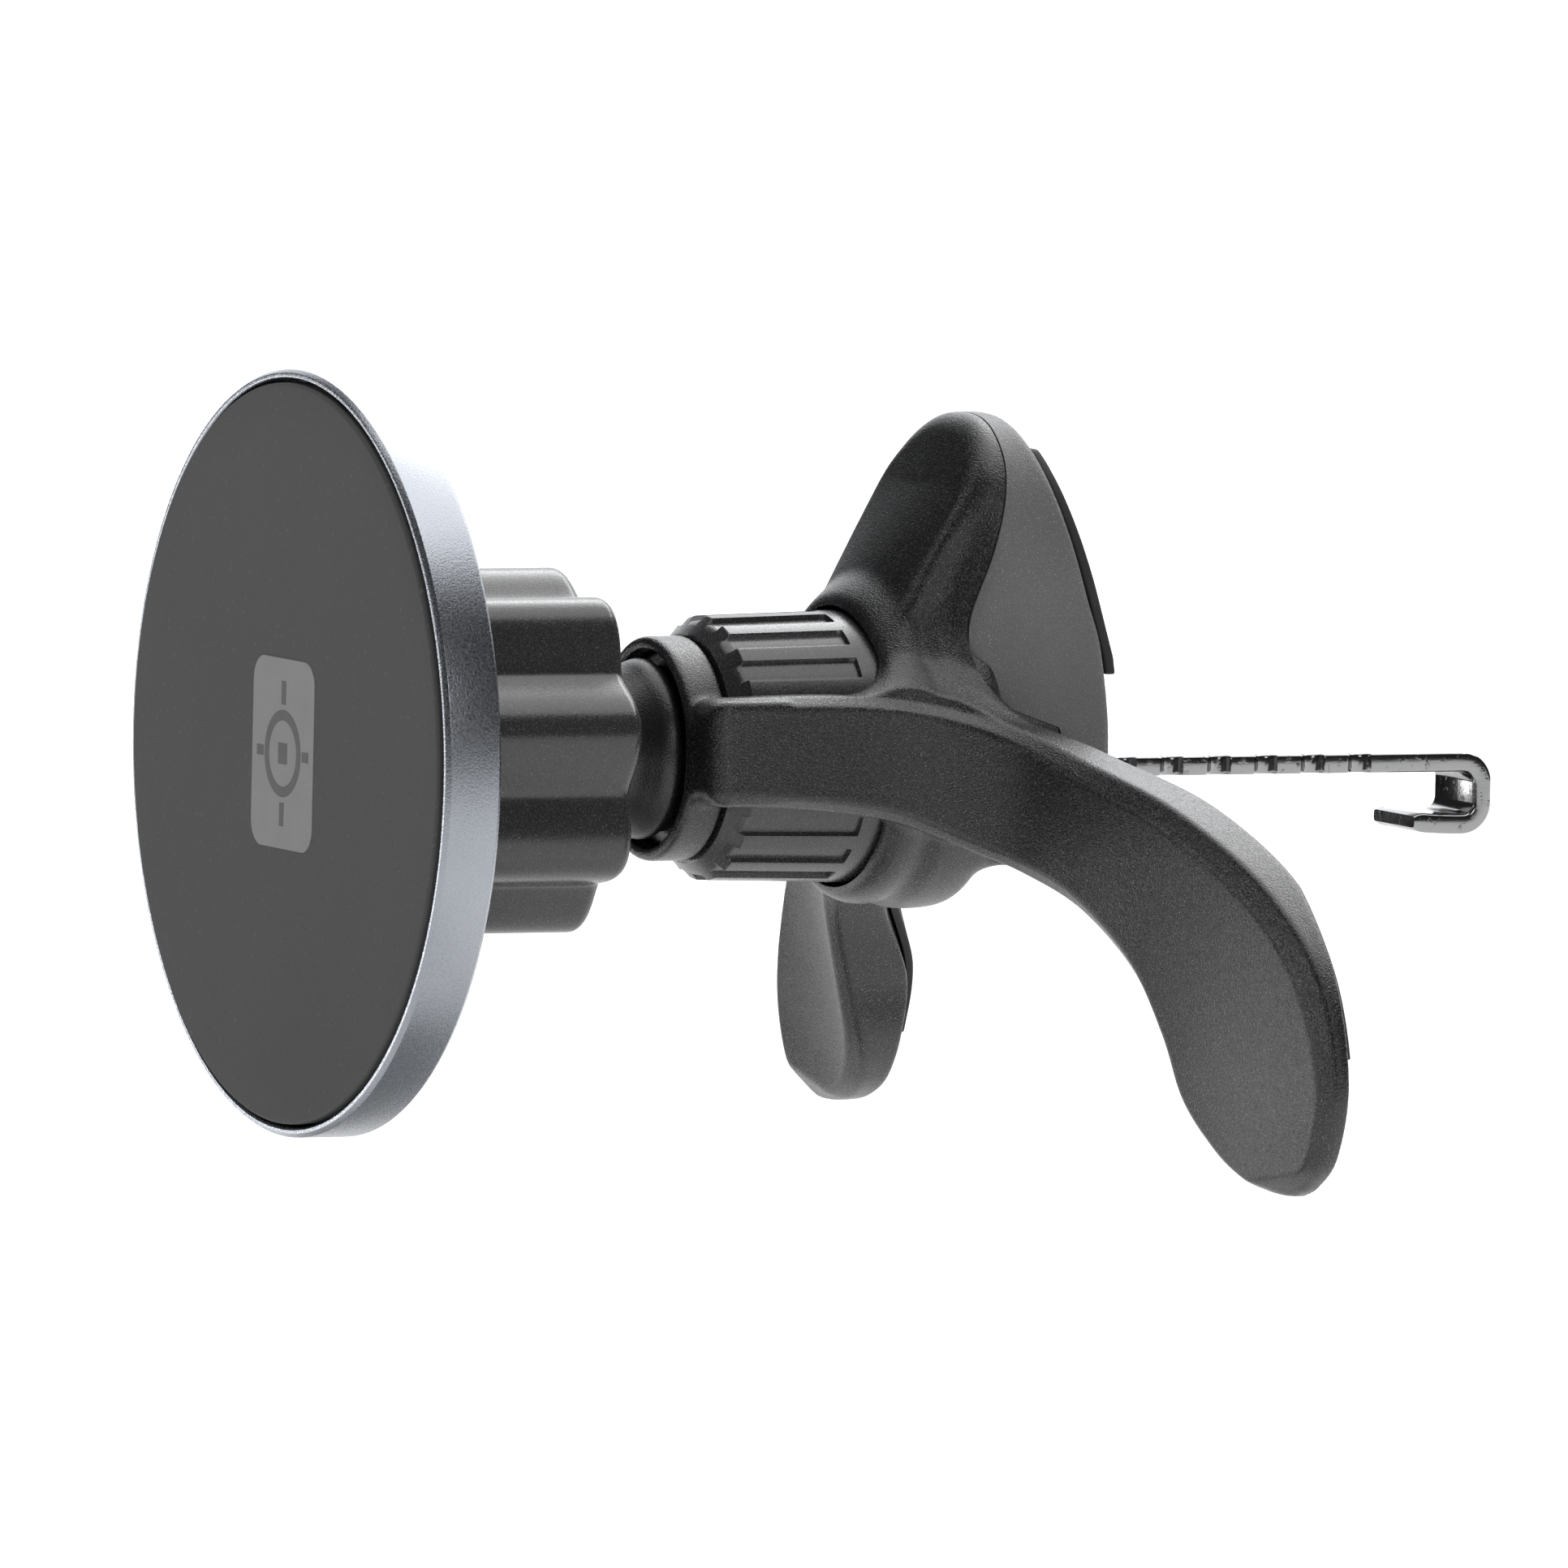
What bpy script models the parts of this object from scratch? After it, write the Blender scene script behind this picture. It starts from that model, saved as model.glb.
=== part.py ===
"""Magnetic phone mount for a car's air vent.

The origin is the centre of the pad's front face. +Y runs along the mount's axis from the phone to the vent,
+Z is up and +X is on the right of somebody who faces the pad. Lengths are in metres.
"""

import math

import bmesh
import bpy
from mathutils import Matrix, Vector

MM = 0.001
GAP = 0.2 * MM
AROUND = 40

# Magnetic plate
PAD_R = 28.0 * MM
PAD_BACK = 0.8 * MM
BEZEL_R = 29.0 * MM
BEZEL_FRONT = 0.4 * MM
BEZEL_BACK = 5.0 * MM
BEZEL_BORE = 28.25 * MM
LIP_R = 26.6 * MM
LIP_FRONT = 4.3 * MM
MAGNETS = 12
MAGNET_INNER = 22.8 * MM
MAGNET_OUTER = 27.0 * MM
MAGNET_SPACE = math.radians(2.5)
CARRIER_FRONT = 1.0 * MM
CARRIER_BACK = 3.1 * MM
CHANNEL_FLOOR = 2.6 * MM
COVER_FRONT = 3.3 * MM
COVER_STEP = 4.1 * MM
COVER_BACK = 5.4 * MM
SCREW_CIRCLE = 15.0 * MM
SCREW_HEAD_R = 1.6 * MM
SCREW_SHANK_R = 0.9 * MM

# Ball joint
BALL_Y = 19.4 * MM
BALL_R = 8.5 * MM
CUP_INNER = 8.7 * MM
CUP_OUTER = 9.5 * MM
POCKET_R = 9.7 * MM
BOSS_R = 10.5 * MM
BOSS_END = 21.3 * MM
LOCK_FRONT = 6.4 * MM
LOCK_BACK = 23.9 * MM
LOCK_BORE = 10.7 * MM
LOCK_MOUTH = 9.3 * MM
LOBES = 8
LOBE_R = 13.9 * MM
VALLEY_R = 11.8 * MM
LOBE_TURN = math.radians(11.0)

# Stud and collar
TAIL_BORE = 4.45 * MM
NECK_R = 5.2 * MM
STUD_R = 7.25 * MM
STUD_END = 32.1 * MM
COLLAR_FRONT = 30.9 * MM
COLLAR_BACK = 34.1 * MM
COLLAR_R = 8.55 * MM
COLLAR_BORE = 7.55 * MM

# Adjusting nut and its cage
NUT_FRONT = 34.3 * MM
NUT_BACK = 47.4 * MM
NUT_R = 10.4 * MM
NUT_FRONT_R = 10.1 * MM
NUT_RIBS = 20
GROOVE_DEPTH = 0.8 * MM
JOURNAL_R = 5.8 * MM
JOURNAL_END = 52.4 * MM
WEB_FRONT = 48.4 * MM
WEB_BACK = 50.7 * MM
WINDOW_R = 10.75 * MM
HUB_BORE = 7.1 * MM

# Body
HUB_R = 12.4 * MM
HUB_FRONT = 46.4 * MM
HUB_BACK = 58.6 * MM
LEG_HALF = 10.0 * MM
LEG_TOP = 24.3 * MM
CONTACT_Y = 66.4 * MM
PAD_THICK = 0.9 * MM
PAD_INSET = 1.6 * MM
PAD_END_TURN = math.radians(16.0)
WALL = 2.0 * MM

# Hook
STRIP_HALF = 3.5 * MM
STRIP_THICK = 1.5 * MM
STRIP_Z = -1.6 * MM
STRIP_TAIL = 40.6 * MM
STRIP_END = 100.4 * MM
HOOK_DROP = 6.3 * MM
HOOK_LIP = 6.6 * MM
THREAD_PITCH = 4.0 * MM
THREAD_START = 43.0 * MM
THREAD_TURNS = 12

# Control sections of the right leg, from the collar to the tip. Each row holds the front edge on the upper side,
# the front edge on the lower side, the direction of the thickness (0 towards the axis, 90 towards the vent) and
# the thickness on either side, in millimetres and degrees.
LEG = (
    ((12.2, 30.9, 4.6), (12.2, 30.9, -3.6), 0, 1.4, 1.4),
    ((12.5, 40.0, 4.8), (12.5, 40.0, -3.9), 0, 1.7, 1.7),
    ((13.2, 46.2, 4.3), (13.2, 46.2, -5.0), 18, 2.3, 2.3),
    ((15.2, 50.6, 3.5), (14.8, 50.8, -7.0), 50, 3.5, 3.5),
    ((18.8, 52.8, 2.2), (17.8, 53.2, -9.6), 72, 4.6, 4.6),
    ((24.0, 54.8, 0.3), (22.4, 55.2, -12.2), 82, 5.0, 5.0),
    ((32.0, 58.2, -2.4), (26.8, 57.9, -15.9), 88, 5.2, 5.2),
    ((39.9, 61.9, -7.6), (29.2, 60.2, -20.8), 90, 4.5, 6.2),
    ((46.2, 63.6, -13.9), (30.9, 61.7, -25.0), 90, 2.8, 4.7),
    ((49.0, 64.2, -21.6), (32.9, 62.9, -28.4), 90, 2.2, 3.5),
    ((47.0, 64.2, -27.6), (35.6, 63.5, -30.3), 90, 2.2, 2.9),
    ((42.8, 64.0, -30.6), (39.2, 63.8, -31.0), 90, 2.4, 2.6),
)
LEG_STEPS = 2
LEG_BEVEL = 1.3 * MM

# Side outline of the body's middle as (y, z), from the foot of the front round the top to the foot of the back
SIDE_FRONT = ((48.6, -9.5), (48.6, 7.0), (50.0, 12.3), (53.1, 18.3), (54.6, 21.5), (56.6, LEG_TOP / MM))
SIDE_BACK = ((58.3, LEG_TOP / MM), (59.9, 20.6), (62.4, 12.3), (63.9, 7.3), (64.6, -0.7), (63.1, -9.5))
SEAM = ((56.4, 30.0), (56.1, 21.0), (54.6, 15.5), (52.6, 10.2), (52.9, 6.8), (54.6, 4.2), (60.2, 2.0), (60.2, -20.0))

parts = bpy.data.collections.new("vent_phone_mount")
tools = bpy.data.collections.new("vent_phone_mount_tools")


def plain(name, colour, roughness, metallic=0.0):
    material = bpy.data.materials.new(name)
    material.use_nodes = True
    shader = material.node_tree.nodes["Principled BSDF"]
    shader.inputs["Base Color"].default_value = (*colour, 1.0)
    shader.inputs["Roughness"].default_value = roughness
    shader.inputs["Metallic"].default_value = metallic
    return material


def start():
    for obj in list(bpy.data.objects):
        bpy.data.objects.remove(obj)
    bpy.context.scene.collection.children.link(parts)
    bpy.context.scene.collection.children.link(tools)
    tools.hide_render = True


def add(name, mesh, matrix=None, material=None):
    """An object of the part, or a tool that shapes one where it has no material."""
    obj = bpy.data.objects.new(name, mesh)
    obj.matrix_world = matrix or Matrix()
    if material:
        parts.objects.link(obj)
        mesh.materials.append(material)
        mesh.shade_smooth()
        mesh.set_sharp_from_angle(angle=math.radians(30))
    else:
        tools.objects.link(obj)
        obj.hide_render = True
        obj.display_type = "WIRE"
    return obj


# The turning axis of a Screw is local Z, which this matrix lays along world Y.
ALONG_Y = Matrix.Rotation(-math.pi / 2, 4, "X")


def turned(name, profile, material=None, steps=AROUND, matrix=ALONG_Y):
    """A profile of (radius, y) points turned about the Y axis. It closes on itself unless it ends on the axis."""
    open_ends = profile[0][0] == 0 and profile[-1][0] == 0
    ring = list(zip(profile, profile[1:] + profile[:1]))
    area = sum(a[0] * b[1] - b[0] * a[1] for a, b in ring)
    if area > 0:
        profile = profile[::-1]
    edges = [(i, i + 1) for i in range(len(profile) - 1)]
    if not open_ends:
        edges.append((len(profile) - 1, 0))
    mesh = bpy.data.meshes.new(name)
    mesh.from_pydata([(r, 0, y) for r, y in profile], edges, [])
    obj = add(name, mesh, matrix, material)
    screw = obj.modifiers.new("turn", "SCREW")
    screw.axis = "Z"
    screw.steps = screw.render_steps = steps
    screw.use_merge_vertices = True
    screw.merge_threshold = 0.01 * MM
    screw.use_smooth_shade = True
    return obj


def arc(centre_y, radius, start_deg, end_deg, count):
    """Profile points on a sphere about (0, centre_y). Angles are from the axis, 0 towards the vent."""
    turns = [math.radians(start_deg + (end_deg - start_deg) * i / count) for i in range(count + 1)]
    return [(radius * round(math.sin(t), 9), centre_y + radius * math.cos(t)) for t in turns]


# Local X, Y and Z of an extruded outline, as columns
FACING = {
    "X": Matrix(((0, 0, 1, 0), (1, 0, 0, 0), (0, 1, 0, 0), (0, 0, 0, 1))),
    "Y": Matrix(((1, 0, 0, 0), (0, 0, -1, 0), (0, 1, 0, 0), (0, 0, 0, 1))),
}


def slab(name, outline, axis, low, high, material=None):
    """A flat outline extruded along X, as (y, z) points, or along Y, as (x, z) points."""
    curve = bpy.data.curves.new(name, "CURVE")
    curve.dimensions = "2D"
    curve.fill_mode = "BOTH"
    curve.extrude = (high - low) / 2
    spline = curve.splines.new("POLY")
    spline.points.add(len(outline) - 1)
    spline.use_cyclic_u = True
    for point, (a, b) in zip(spline.points, outline):
        point.co = (a, b, 0, 1)
    middle = (low + high) / 2
    shift = Vector((middle, 0, 0)) if axis == "X" else Vector((0, middle, 0))
    guide = bpy.data.objects.new(name + "_outline", curve)
    guide.matrix_world = Matrix.Translation(shift) @ FACING[axis]
    bpy.context.scene.collection.objects.link(guide)
    bpy.context.view_layer.update()
    graph = bpy.context.evaluated_depsgraph_get()
    mesh = bpy.data.meshes.new_from_object(guide.evaluated_get(graph))
    matrix = guide.matrix_world.copy()
    bpy.data.objects.remove(guide)
    form = bmesh.new()
    form.from_mesh(mesh)
    bmesh.ops.remove_doubles(form, verts=form.verts, dist=0.001 * MM)
    bmesh.ops.recalc_face_normals(form, faces=form.faces)
    form.to_mesh(mesh)
    form.free()
    return add(name, mesh, matrix, material)


def box(name, low, high, material=None):
    mesh = bpy.data.meshes.new(name)
    form = bmesh.new()
    bmesh.ops.create_cube(form, size=1.0)
    low, high = Vector(low), Vector(high)
    size = high - low
    bmesh.ops.scale(form, vec=size, verts=form.verts)
    bmesh.ops.translate(form, vec=(low + high) / 2, verts=form.verts)
    form.to_mesh(mesh)
    form.free()
    return add(name, mesh, None, material)


def loft(name, rings, material=None):
    """A closed solid through rings of points, with a flat cap at each end."""
    form = bmesh.new()
    rows = [[form.verts.new(point) for point in ring] for ring in rings]
    count = len(rings[0])
    for row, after in zip(rows, rows[1:]):
        for i in range(count):
            j = (i + 1) % count
            form.faces.new((row[i], row[j], after[j], after[i]))
    form.faces.new(rows[0][::-1])
    form.faces.new(rows[-1])
    bmesh.ops.recalc_face_normals(form, faces=form.faces)
    mesh = bpy.data.meshes.new(name)
    form.to_mesh(mesh)
    form.free()
    return add(name, mesh, None, material)


def combine(obj, other, operation="DIFFERENCE"):
    boolean = obj.modifiers.new(operation.lower(), "BOOLEAN")
    boolean.operation = operation
    boolean.object = other
    boolean.solver = "EXACT"
    return obj


def copied(obj, name, material=None):
    """The shape of an object with its modifiers applied."""
    bpy.context.view_layer.update()
    graph = bpy.context.evaluated_depsgraph_get()
    mesh = bpy.data.meshes.new_from_object(obj.evaluated_get(graph))
    mesh.materials.clear()
    return add(name, mesh, obj.matrix_world.copy(), material)


def smooth_between(before, a, b, after, t):
    """A Catmull-Rom curve from a to b."""
    return 0.5 * (
        2 * a + (b - before) * t + (2 * before - 5 * a + 4 * b - after) * t**2
        + (3 * a - before - 3 * b + after) * t**3
    )


def leg_sections(first, last, steps):
    """Front edges, thickness direction and thicknesses between two rows of LEG, in metres and radians.

    No section reaches past the plane where the feet lie flat."""
    rows = []
    for index in range(first, last):
        four = [LEG[min(max(index + k, 0), len(LEG) - 1)] for k in (-1, 0, 1, 2)]
        count = steps + 1 if index == last - 1 else steps
        for step in range(count):
            t = step / steps
            upper, lower = (smooth_between(*(Vector(row[k]) for row in four), t) * MM for k in (0, 1))
            turn = smooth_between(*(math.radians(row[2]) for row in four), t)
            thick = [smooth_between(*(row[k] for row in four), t) * MM for k in (3, 4)]
            room = [(CONTACT_Y - edge.y) / max(math.sin(turn), 0.05) for edge in (upper, lower)]
            rows.append((upper, lower, turn, *map(min, thick, room)))
    return rows


def leg_ring(section, bevel):
    """One section of a leg: a bar with its two front corners cut back."""
    upper, lower, turn, upper_thick, lower_thick = section
    across = (lower - upper).normalized()
    back = Vector((-math.cos(turn), math.sin(turn), 0))
    cut = min(bevel, 0.3 * (lower - upper).length)
    deep = min(bevel, 0.6 * min(upper_thick, lower_thick))
    return [
        upper + back * deep,
        upper + across * cut,
        lower - across * cut,
        lower + back * deep,
        lower + back * lower_thick,
        upper + back * upper_thick,
    ]


def mirrored(points):
    return [Vector((-p.x, p.y, p.z)) for p in points]


def leg(name, side):
    rings = [leg_ring(section, LEG_BEVEL * 0.8) for section in leg_sections(0, len(LEG) - 1, LEG_STEPS)]
    if side < 0:
        rings = [mirrored(ring) for ring in rings]
    return loft(name, rings)


def leg_pad(name, side, material):
    """A rubber sheet on the back of a leg, set in from its edges and cut off above the tip."""
    rings = []
    for upper, lower, turn, upper_thick, lower_thick in leg_sections(5, 9, LEG_STEPS):
        back = Vector((-math.cos(turn), math.sin(turn), 0))
        behind = [upper + back * upper_thick, lower + back * lower_thick]
        share = PAD_INSET / (behind[1] - behind[0]).length
        edges = [behind[0].lerp(behind[1], t) for t in (share, 1 - share)]
        near = [point + back * GAP for point in edges]
        far = [point + back * PAD_THICK for point in edges]
        rings.append([near[0], near[1], far[1], far[0]])
    if side < 0:
        rings = [mirrored(ring) for ring in rings]
    pad = loft(name, rings, material)
    turn = Matrix.Rotation(-side * PAD_END_TURN, 4, "Y")
    end = box(f"{name}_end", (-30 * MM, 60 * MM, -20 * MM), (30 * MM, 70 * MM, 0))
    end.matrix_world = Matrix.Translation((side * 39.9 * MM, 0, -22.1 * MM)) @ turn
    return combine(pad, end)


def arch(half, top, foot, count=10):
    """Front outline of the upper leg as (x, z): straight sides under a rounded top."""
    shoulder = top - 12.3 * MM
    points = [(half, foot), (half, shoulder)]
    for i in range(1, count):
        t = math.pi / 2 * i / count
        points.append((half * math.cos(t) ** 0.8, shoulder + (top - shoulder) * math.sin(t) ** 0.95))
    points.append((0.0, top))
    return points + [(-x, z) for x, z in points[-2::-1]]


def in_metres(points):
    return [(a * MM, b * MM) for a, b in points]


# Magnetic plate


def make_face_pad():
    profile = [(0, 0), (PAD_R - 0.3 * MM, 0), (PAD_R, 0.3 * MM), (PAD_R, PAD_BACK), (0, PAD_BACK)]
    return turned("face_pad", profile, PAD_RUBBER, 64)


def make_bezel_ring():
    profile = [
        (BEZEL_BORE, BEZEL_FRONT + 0.1 * MM),
        (28.45 * MM, BEZEL_FRONT),
        (BEZEL_R, 0.95 * MM),
        (BEZEL_R, BEZEL_BACK - 0.3 * MM),
        (28.7 * MM, BEZEL_BACK),
        (LIP_R, BEZEL_BACK),
        (LIP_R, LIP_FRONT),
        (BEZEL_BORE, LIP_FRONT),
    ]
    return turned("bezel_ring", profile, ALUMINIUM, 64)


def make_magnets():
    for index in range(MAGNETS):
        pitch = 2 * math.pi / MAGNETS
        ends = (index * pitch + MAGNET_SPACE / 2, (index + 1) * pitch - MAGNET_SPACE / 2)
        turns = [ends[0] + (ends[1] - ends[0]) * i / 3 for i in range(4)]
        outline = [(MAGNET_OUTER * math.cos(t), MAGNET_OUTER * math.sin(t)) for t in turns]
        outline += [(MAGNET_INNER * math.cos(t), MAGNET_INNER * math.sin(t)) for t in turns[::-1]]
        slab(f"magnet_{index + 1:02d}", outline, "Y", CARRIER_FRONT, 1.9 * MM, NICKEL)


def make_steel_yoke():
    profile = [(22.7 * MM, 2.05 * MM), (27.1 * MM, 2.05 * MM), (27.1 * MM, 2.4 * MM), (22.7 * MM, 2.4 * MM)]
    return turned("steel_yoke", profile, STEEL)


def screw_places(radius, count, first_deg):
    turns = [math.radians(first_deg + 360 * i / count) for i in range(count)]
    return [(radius * math.cos(t), radius * math.sin(t)) for t in turns]


def screw(name, place, head_y, end_y, head_r, shank_r, head_deep):
    """A screw along Y, from the top of its head to its tip."""
    x, z = place
    profile = [
        (0, 0),
        (head_r, 0),
        (head_r, head_deep),
        (shank_r, head_deep),
        (shank_r, abs(end_y - head_y)),
        (0, abs(end_y - head_y)),
    ]
    turn = ALONG_Y if end_y > head_y else Matrix.Rotation(math.pi / 2, 4, "X")
    return turned(name, profile, STEEL, 12, Matrix.Translation((x, head_y, z)) @ turn)


def rod(name, place, low, high, radius, steps=12):
    """A plain cylinder along Y that adds or cuts a boss or a hole."""
    profile = [(0, low), (radius, low), (radius, high), (0, high)]
    return turned(name, profile, None, steps, Matrix.Translation((place[0], 0, place[1])) @ ALONG_Y)


def make_magnet_carrier():
    profile = [
        (0, CARRIER_FRONT),
        (22.4 * MM, CARRIER_FRONT),
        (22.4 * MM, CHANNEL_FLOOR),
        (27.4 * MM, CHANNEL_FLOOR),
        (27.4 * MM, CARRIER_FRONT),
        (28.0 * MM, CARRIER_FRONT),
        (28.0 * MM, CARRIER_BACK),
        (0, CARRIER_BACK),
    ]
    carrier = turned("magnet_carrier", profile, HIDDEN_PLASTIC, 64)
    for index, place in enumerate(screw_places(SCREW_CIRCLE, 3, 90)):
        combine(carrier, rod(f"carrier_hole_{index}", place, 0, 5 * MM, 1.1 * MM))
        combine(carrier, rod(f"carrier_recess_{index}", place, 0, 2.2 * MM, 1.8 * MM, 16))
    return carrier


def make_cover_screws():
    for index, place in enumerate(screw_places(SCREW_CIRCLE, 3, 90)):
        name = f"cover_screw_{index + 1}"
        screw(name, place, 1.1 * MM, 4.7 * MM, SCREW_HEAD_R, SCREW_SHANK_R, 0.9 * MM)


def make_rear_cover():
    mouth_deg = math.degrees(math.acos((BOSS_END - BALL_Y) / POCKET_R))
    pocket = arc(BALL_Y, POCKET_R, mouth_deg, 180, 8)
    profile = [
        (0, 7.4 * MM),
        (7.0 * MM, 7.4 * MM),
        (7.0 * MM, COVER_FRONT),
        (28.0 * MM, COVER_FRONT),
        (28.0 * MM, COVER_STEP),
        (26.3 * MM, COVER_STEP),
        (26.3 * MM, 5.1 * MM),
        (25.8 * MM, COVER_BACK),
        (BOSS_R, COVER_BACK),
        (BOSS_R, BOSS_END),
    ]
    cover = turned("rear_cover", profile + pocket, BODY_PLASTIC)
    for index, place in enumerate(screw_places(SCREW_CIRCLE, 3, 90)):
        combine(cover, rod(f"cover_hole_{index}", place, 0, 4.9 * MM, 1.05 * MM))
    reach = BOSS_R + 1.0 * MM
    slit = 0.6 * MM
    for index in range(2):
        wide = (reach, slit) if index else (slit, reach)
        low = (-wide[0], 15.4 * MM, -wide[1])
        high = (wide[0], BOSS_END + 1.0 * MM, wide[1])
        combine(cover, box(f"boss_slit_{index}", low, high))
    return cover


def make_friction_cup():
    inner = arc(BALL_Y, CUP_INNER, 138, 180, 5)
    outer = arc(BALL_Y, CUP_OUTER, 138, 180, 5)
    return turned("friction_cup", inner[::-1] + outer, HIDDEN_PLASTIC, 32)


def make_pressure_ring():
    inner = arc(BALL_Y, CUP_INNER, 62, 84, 3)
    outer = arc(BALL_Y, CUP_OUTER, 62, 84, 3)
    return turned("pressure_ring", inner + outer[::-1], HIDDEN_PLASTIC)


def make_clamp_ring():
    inner = arc(BALL_Y, POCKET_R + 0.05 * MM, 69, 77, 2)
    back, front = inner[0][1], inner[-1][1]
    profile = [(BOSS_R, front), (BOSS_R, back)] + inner
    return turned("clamp_ring", profile, STEEL)


def lobed_outline(count=6):
    """Outline of the lock nut as (x, z): a radius that swings between valley and lobe."""
    points = []
    total = LOBES * count
    for i in range(total):
        t = 2 * math.pi * i / total
        swing = 0.5 + 0.5 * math.cos(LOBES * t)
        radius = VALLEY_R + (LOBE_R - VALLEY_R) * swing**0.8
        points.append((radius * math.cos(t + LOBE_TURN), radius * math.sin(t + LOBE_TURN)))
    return points


def make_lock_nut():
    nut = slab("lock_nut", lobed_outline(), "Y", LOCK_FRONT, LOCK_BACK, NUT_PLASTIC)
    bore = [
        (0, LOCK_FRONT - MM),
        (LOCK_BORE, LOCK_FRONT - MM),
        (LOCK_BORE, 23.1 * MM),
        (LOCK_MOUTH, 23.1 * MM),
        (LOCK_MOUTH, LOCK_BACK + MM),
        (0, LOCK_BACK + MM),
    ]
    return combine(nut, turned("lock_nut_bore", bore))


# Ball, stud and collar


def make_ball_stud():
    leave_deg = math.degrees(math.asin(NECK_R / BALL_R))
    ball = arc(BALL_Y, BALL_R, 172, leave_deg, 11)
    flare = [(5.25, 26.4), (5.6, 27.2), (6.3, 28.1), (6.95, 29.2), (7.25, 30.4)]
    profile = [(0, ball[0][1])] + ball + in_metres(flare)
    profile += [
        (STUD_R, STUD_END),
        (5.9 * MM, STUD_END),
        (5.9 * MM, 28.8 * MM),
        (TAIL_BORE, 28.8 * MM),
        (TAIL_BORE, 17.5 * MM),
        (0, 17.5 * MM),
    ]
    return turned("ball_stud", profile, STUD_PLASTIC)


def make_stud_screw():
    profile = [
        (TAIL_BORE, 29.0 * MM),
        (5.7 * MM, 29.0 * MM),
        (5.7 * MM, 33.4 * MM),
        (7.6 * MM, 33.4 * MM),
        (7.6 * MM, 34.0 * MM),
        (TAIL_BORE, 34.0 * MM),
    ]
    return turned("stud_screw", profile, STEEL, 32)


# Body


def make_middle():
    """The outside of the upper leg and of the block below it, which both shells share."""
    side = slab("middle", in_metres(SIDE_FRONT + SIDE_BACK), "X", -LEG_HALF * 1.2, LEG_HALF * 1.2)
    front = arch(LEG_HALF, LEG_TOP, -8.6 * MM)
    return combine(side, slab("middle_arch", front, "Y", 40 * MM, 70 * MM), "INTERSECT")


def add_hub_and_legs(shell):
    hub = [
        (0, HUB_FRONT),
        (HUB_R - 1.0 * MM, HUB_FRONT),
        (HUB_R, HUB_FRONT + 1.2 * MM),
        (HUB_R, HUB_BACK - 2.0 * MM),
        (HUB_R - 2.0 * MM, HUB_BACK),
        (0, HUB_BACK),
    ]
    combine(shell, turned("hub", hub), "UNION")
    combine(shell, leg("right_leg", 1), "UNION")
    combine(shell, leg("left_leg", -1), "UNION")


def make_cavity():
    """The hollow inside the upper leg, open from one shell into the other."""
    front = [(y + WALL / MM, z) for y, z in SIDE_FRONT[2:-1]]
    back = [(y - WALL / MM, z) for y, z in SIDE_BACK[1:4]]
    outline = in_metres([(front[0][0], 11.4)] + front + back + [(61.0, 8.0), (55.5, 8.0), (55.5, 11.4)])
    hollow = slab("cavity", outline, "X", -LEG_HALF, LEG_HALF)
    inner = arch(LEG_HALF - WALL, LEG_TOP - WALL, 0)
    return combine(hollow, slab("cavity_arch", inner, "Y", 40 * MM, 70 * MM), "INTERSECT")


def seam_side(name, shift, far):
    """A block on one side of the seam between the shells, moved off it by shift."""
    edge = [(y * MM + shift, z * MM) for y, z in SEAM]
    half = LEG_HALF + GAP
    return slab(name, edge + [(far, -20 * MM), (far, 30 * MM)], "X", -half, half)


# Where each shell screw sits as (x, z), the plane under its head and the depth of its tip
SHELL_SCREWS = (
    ((0.0, 17.2 * MM), 58.6 * MM, 54.4 * MM),
    ((-7.7 * MM, 3.4 * MM), 60.4 * MM, 50.4 * MM),
    ((7.7 * MM, 3.4 * MM), 60.4 * MM, 50.4 * MM),
)


def make_front_shell(middle, cavity):
    shell = copied(middle, "front_shell", BODY_PLASTIC)
    add_hub_and_legs(shell)
    combine(shell, seam_side("behind_seam", -GAP / 2, 80 * MM))
    combine(shell, cavity)
    combine(shell, rod("front_post", SHELL_SCREWS[0][0], 53.4 * MM, 57.2 * MM, 2.2 * MM, 16), "UNION")
    bore = [
        (0, 40 * MM),
        (WINDOW_R, 40 * MM),
        (WINDOW_R, WEB_FRONT),
        (6.1 * MM, WEB_FRONT),
        (6.1 * MM, WEB_BACK),
        (HUB_BORE, WEB_BACK),
        (HUB_BORE, 62 * MM),
        (0, 62 * MM),
    ]
    combine(shell, turned("hub_bore", bore))
    collar = [
        (COLLAR_BORE, COLLAR_FRONT),
        (COLLAR_R, COLLAR_FRONT),
        (COLLAR_R, COLLAR_BACK),
        (7.9 * MM, COLLAR_BACK),
        (7.9 * MM, 33.2 * MM),
        (6.1 * MM, 33.2 * MM),
        (6.1 * MM, 32.3 * MM),
        (COLLAR_BORE, 32.3 * MM),
    ]
    for name, inner, outer in (("right_bridge", 8.1 * MM, 11.6 * MM), ("left_bridge", -11.6 * MM, -8.1 * MM)):
        low = (inner, COLLAR_FRONT + GAP, -3.3 * MM)
        high = (outer, COLLAR_BACK - GAP, 4.3 * MM)
        combine(shell, box(name, low, high), "UNION")
    combine(shell, turned("collar", collar), "UNION")
    for index, (place, _, tip_y) in enumerate(SHELL_SCREWS):
        combine(shell, rod(f"front_hole_{index}", place, tip_y - 0.4 * MM, 66 * MM, MM))
    return shell


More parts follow.
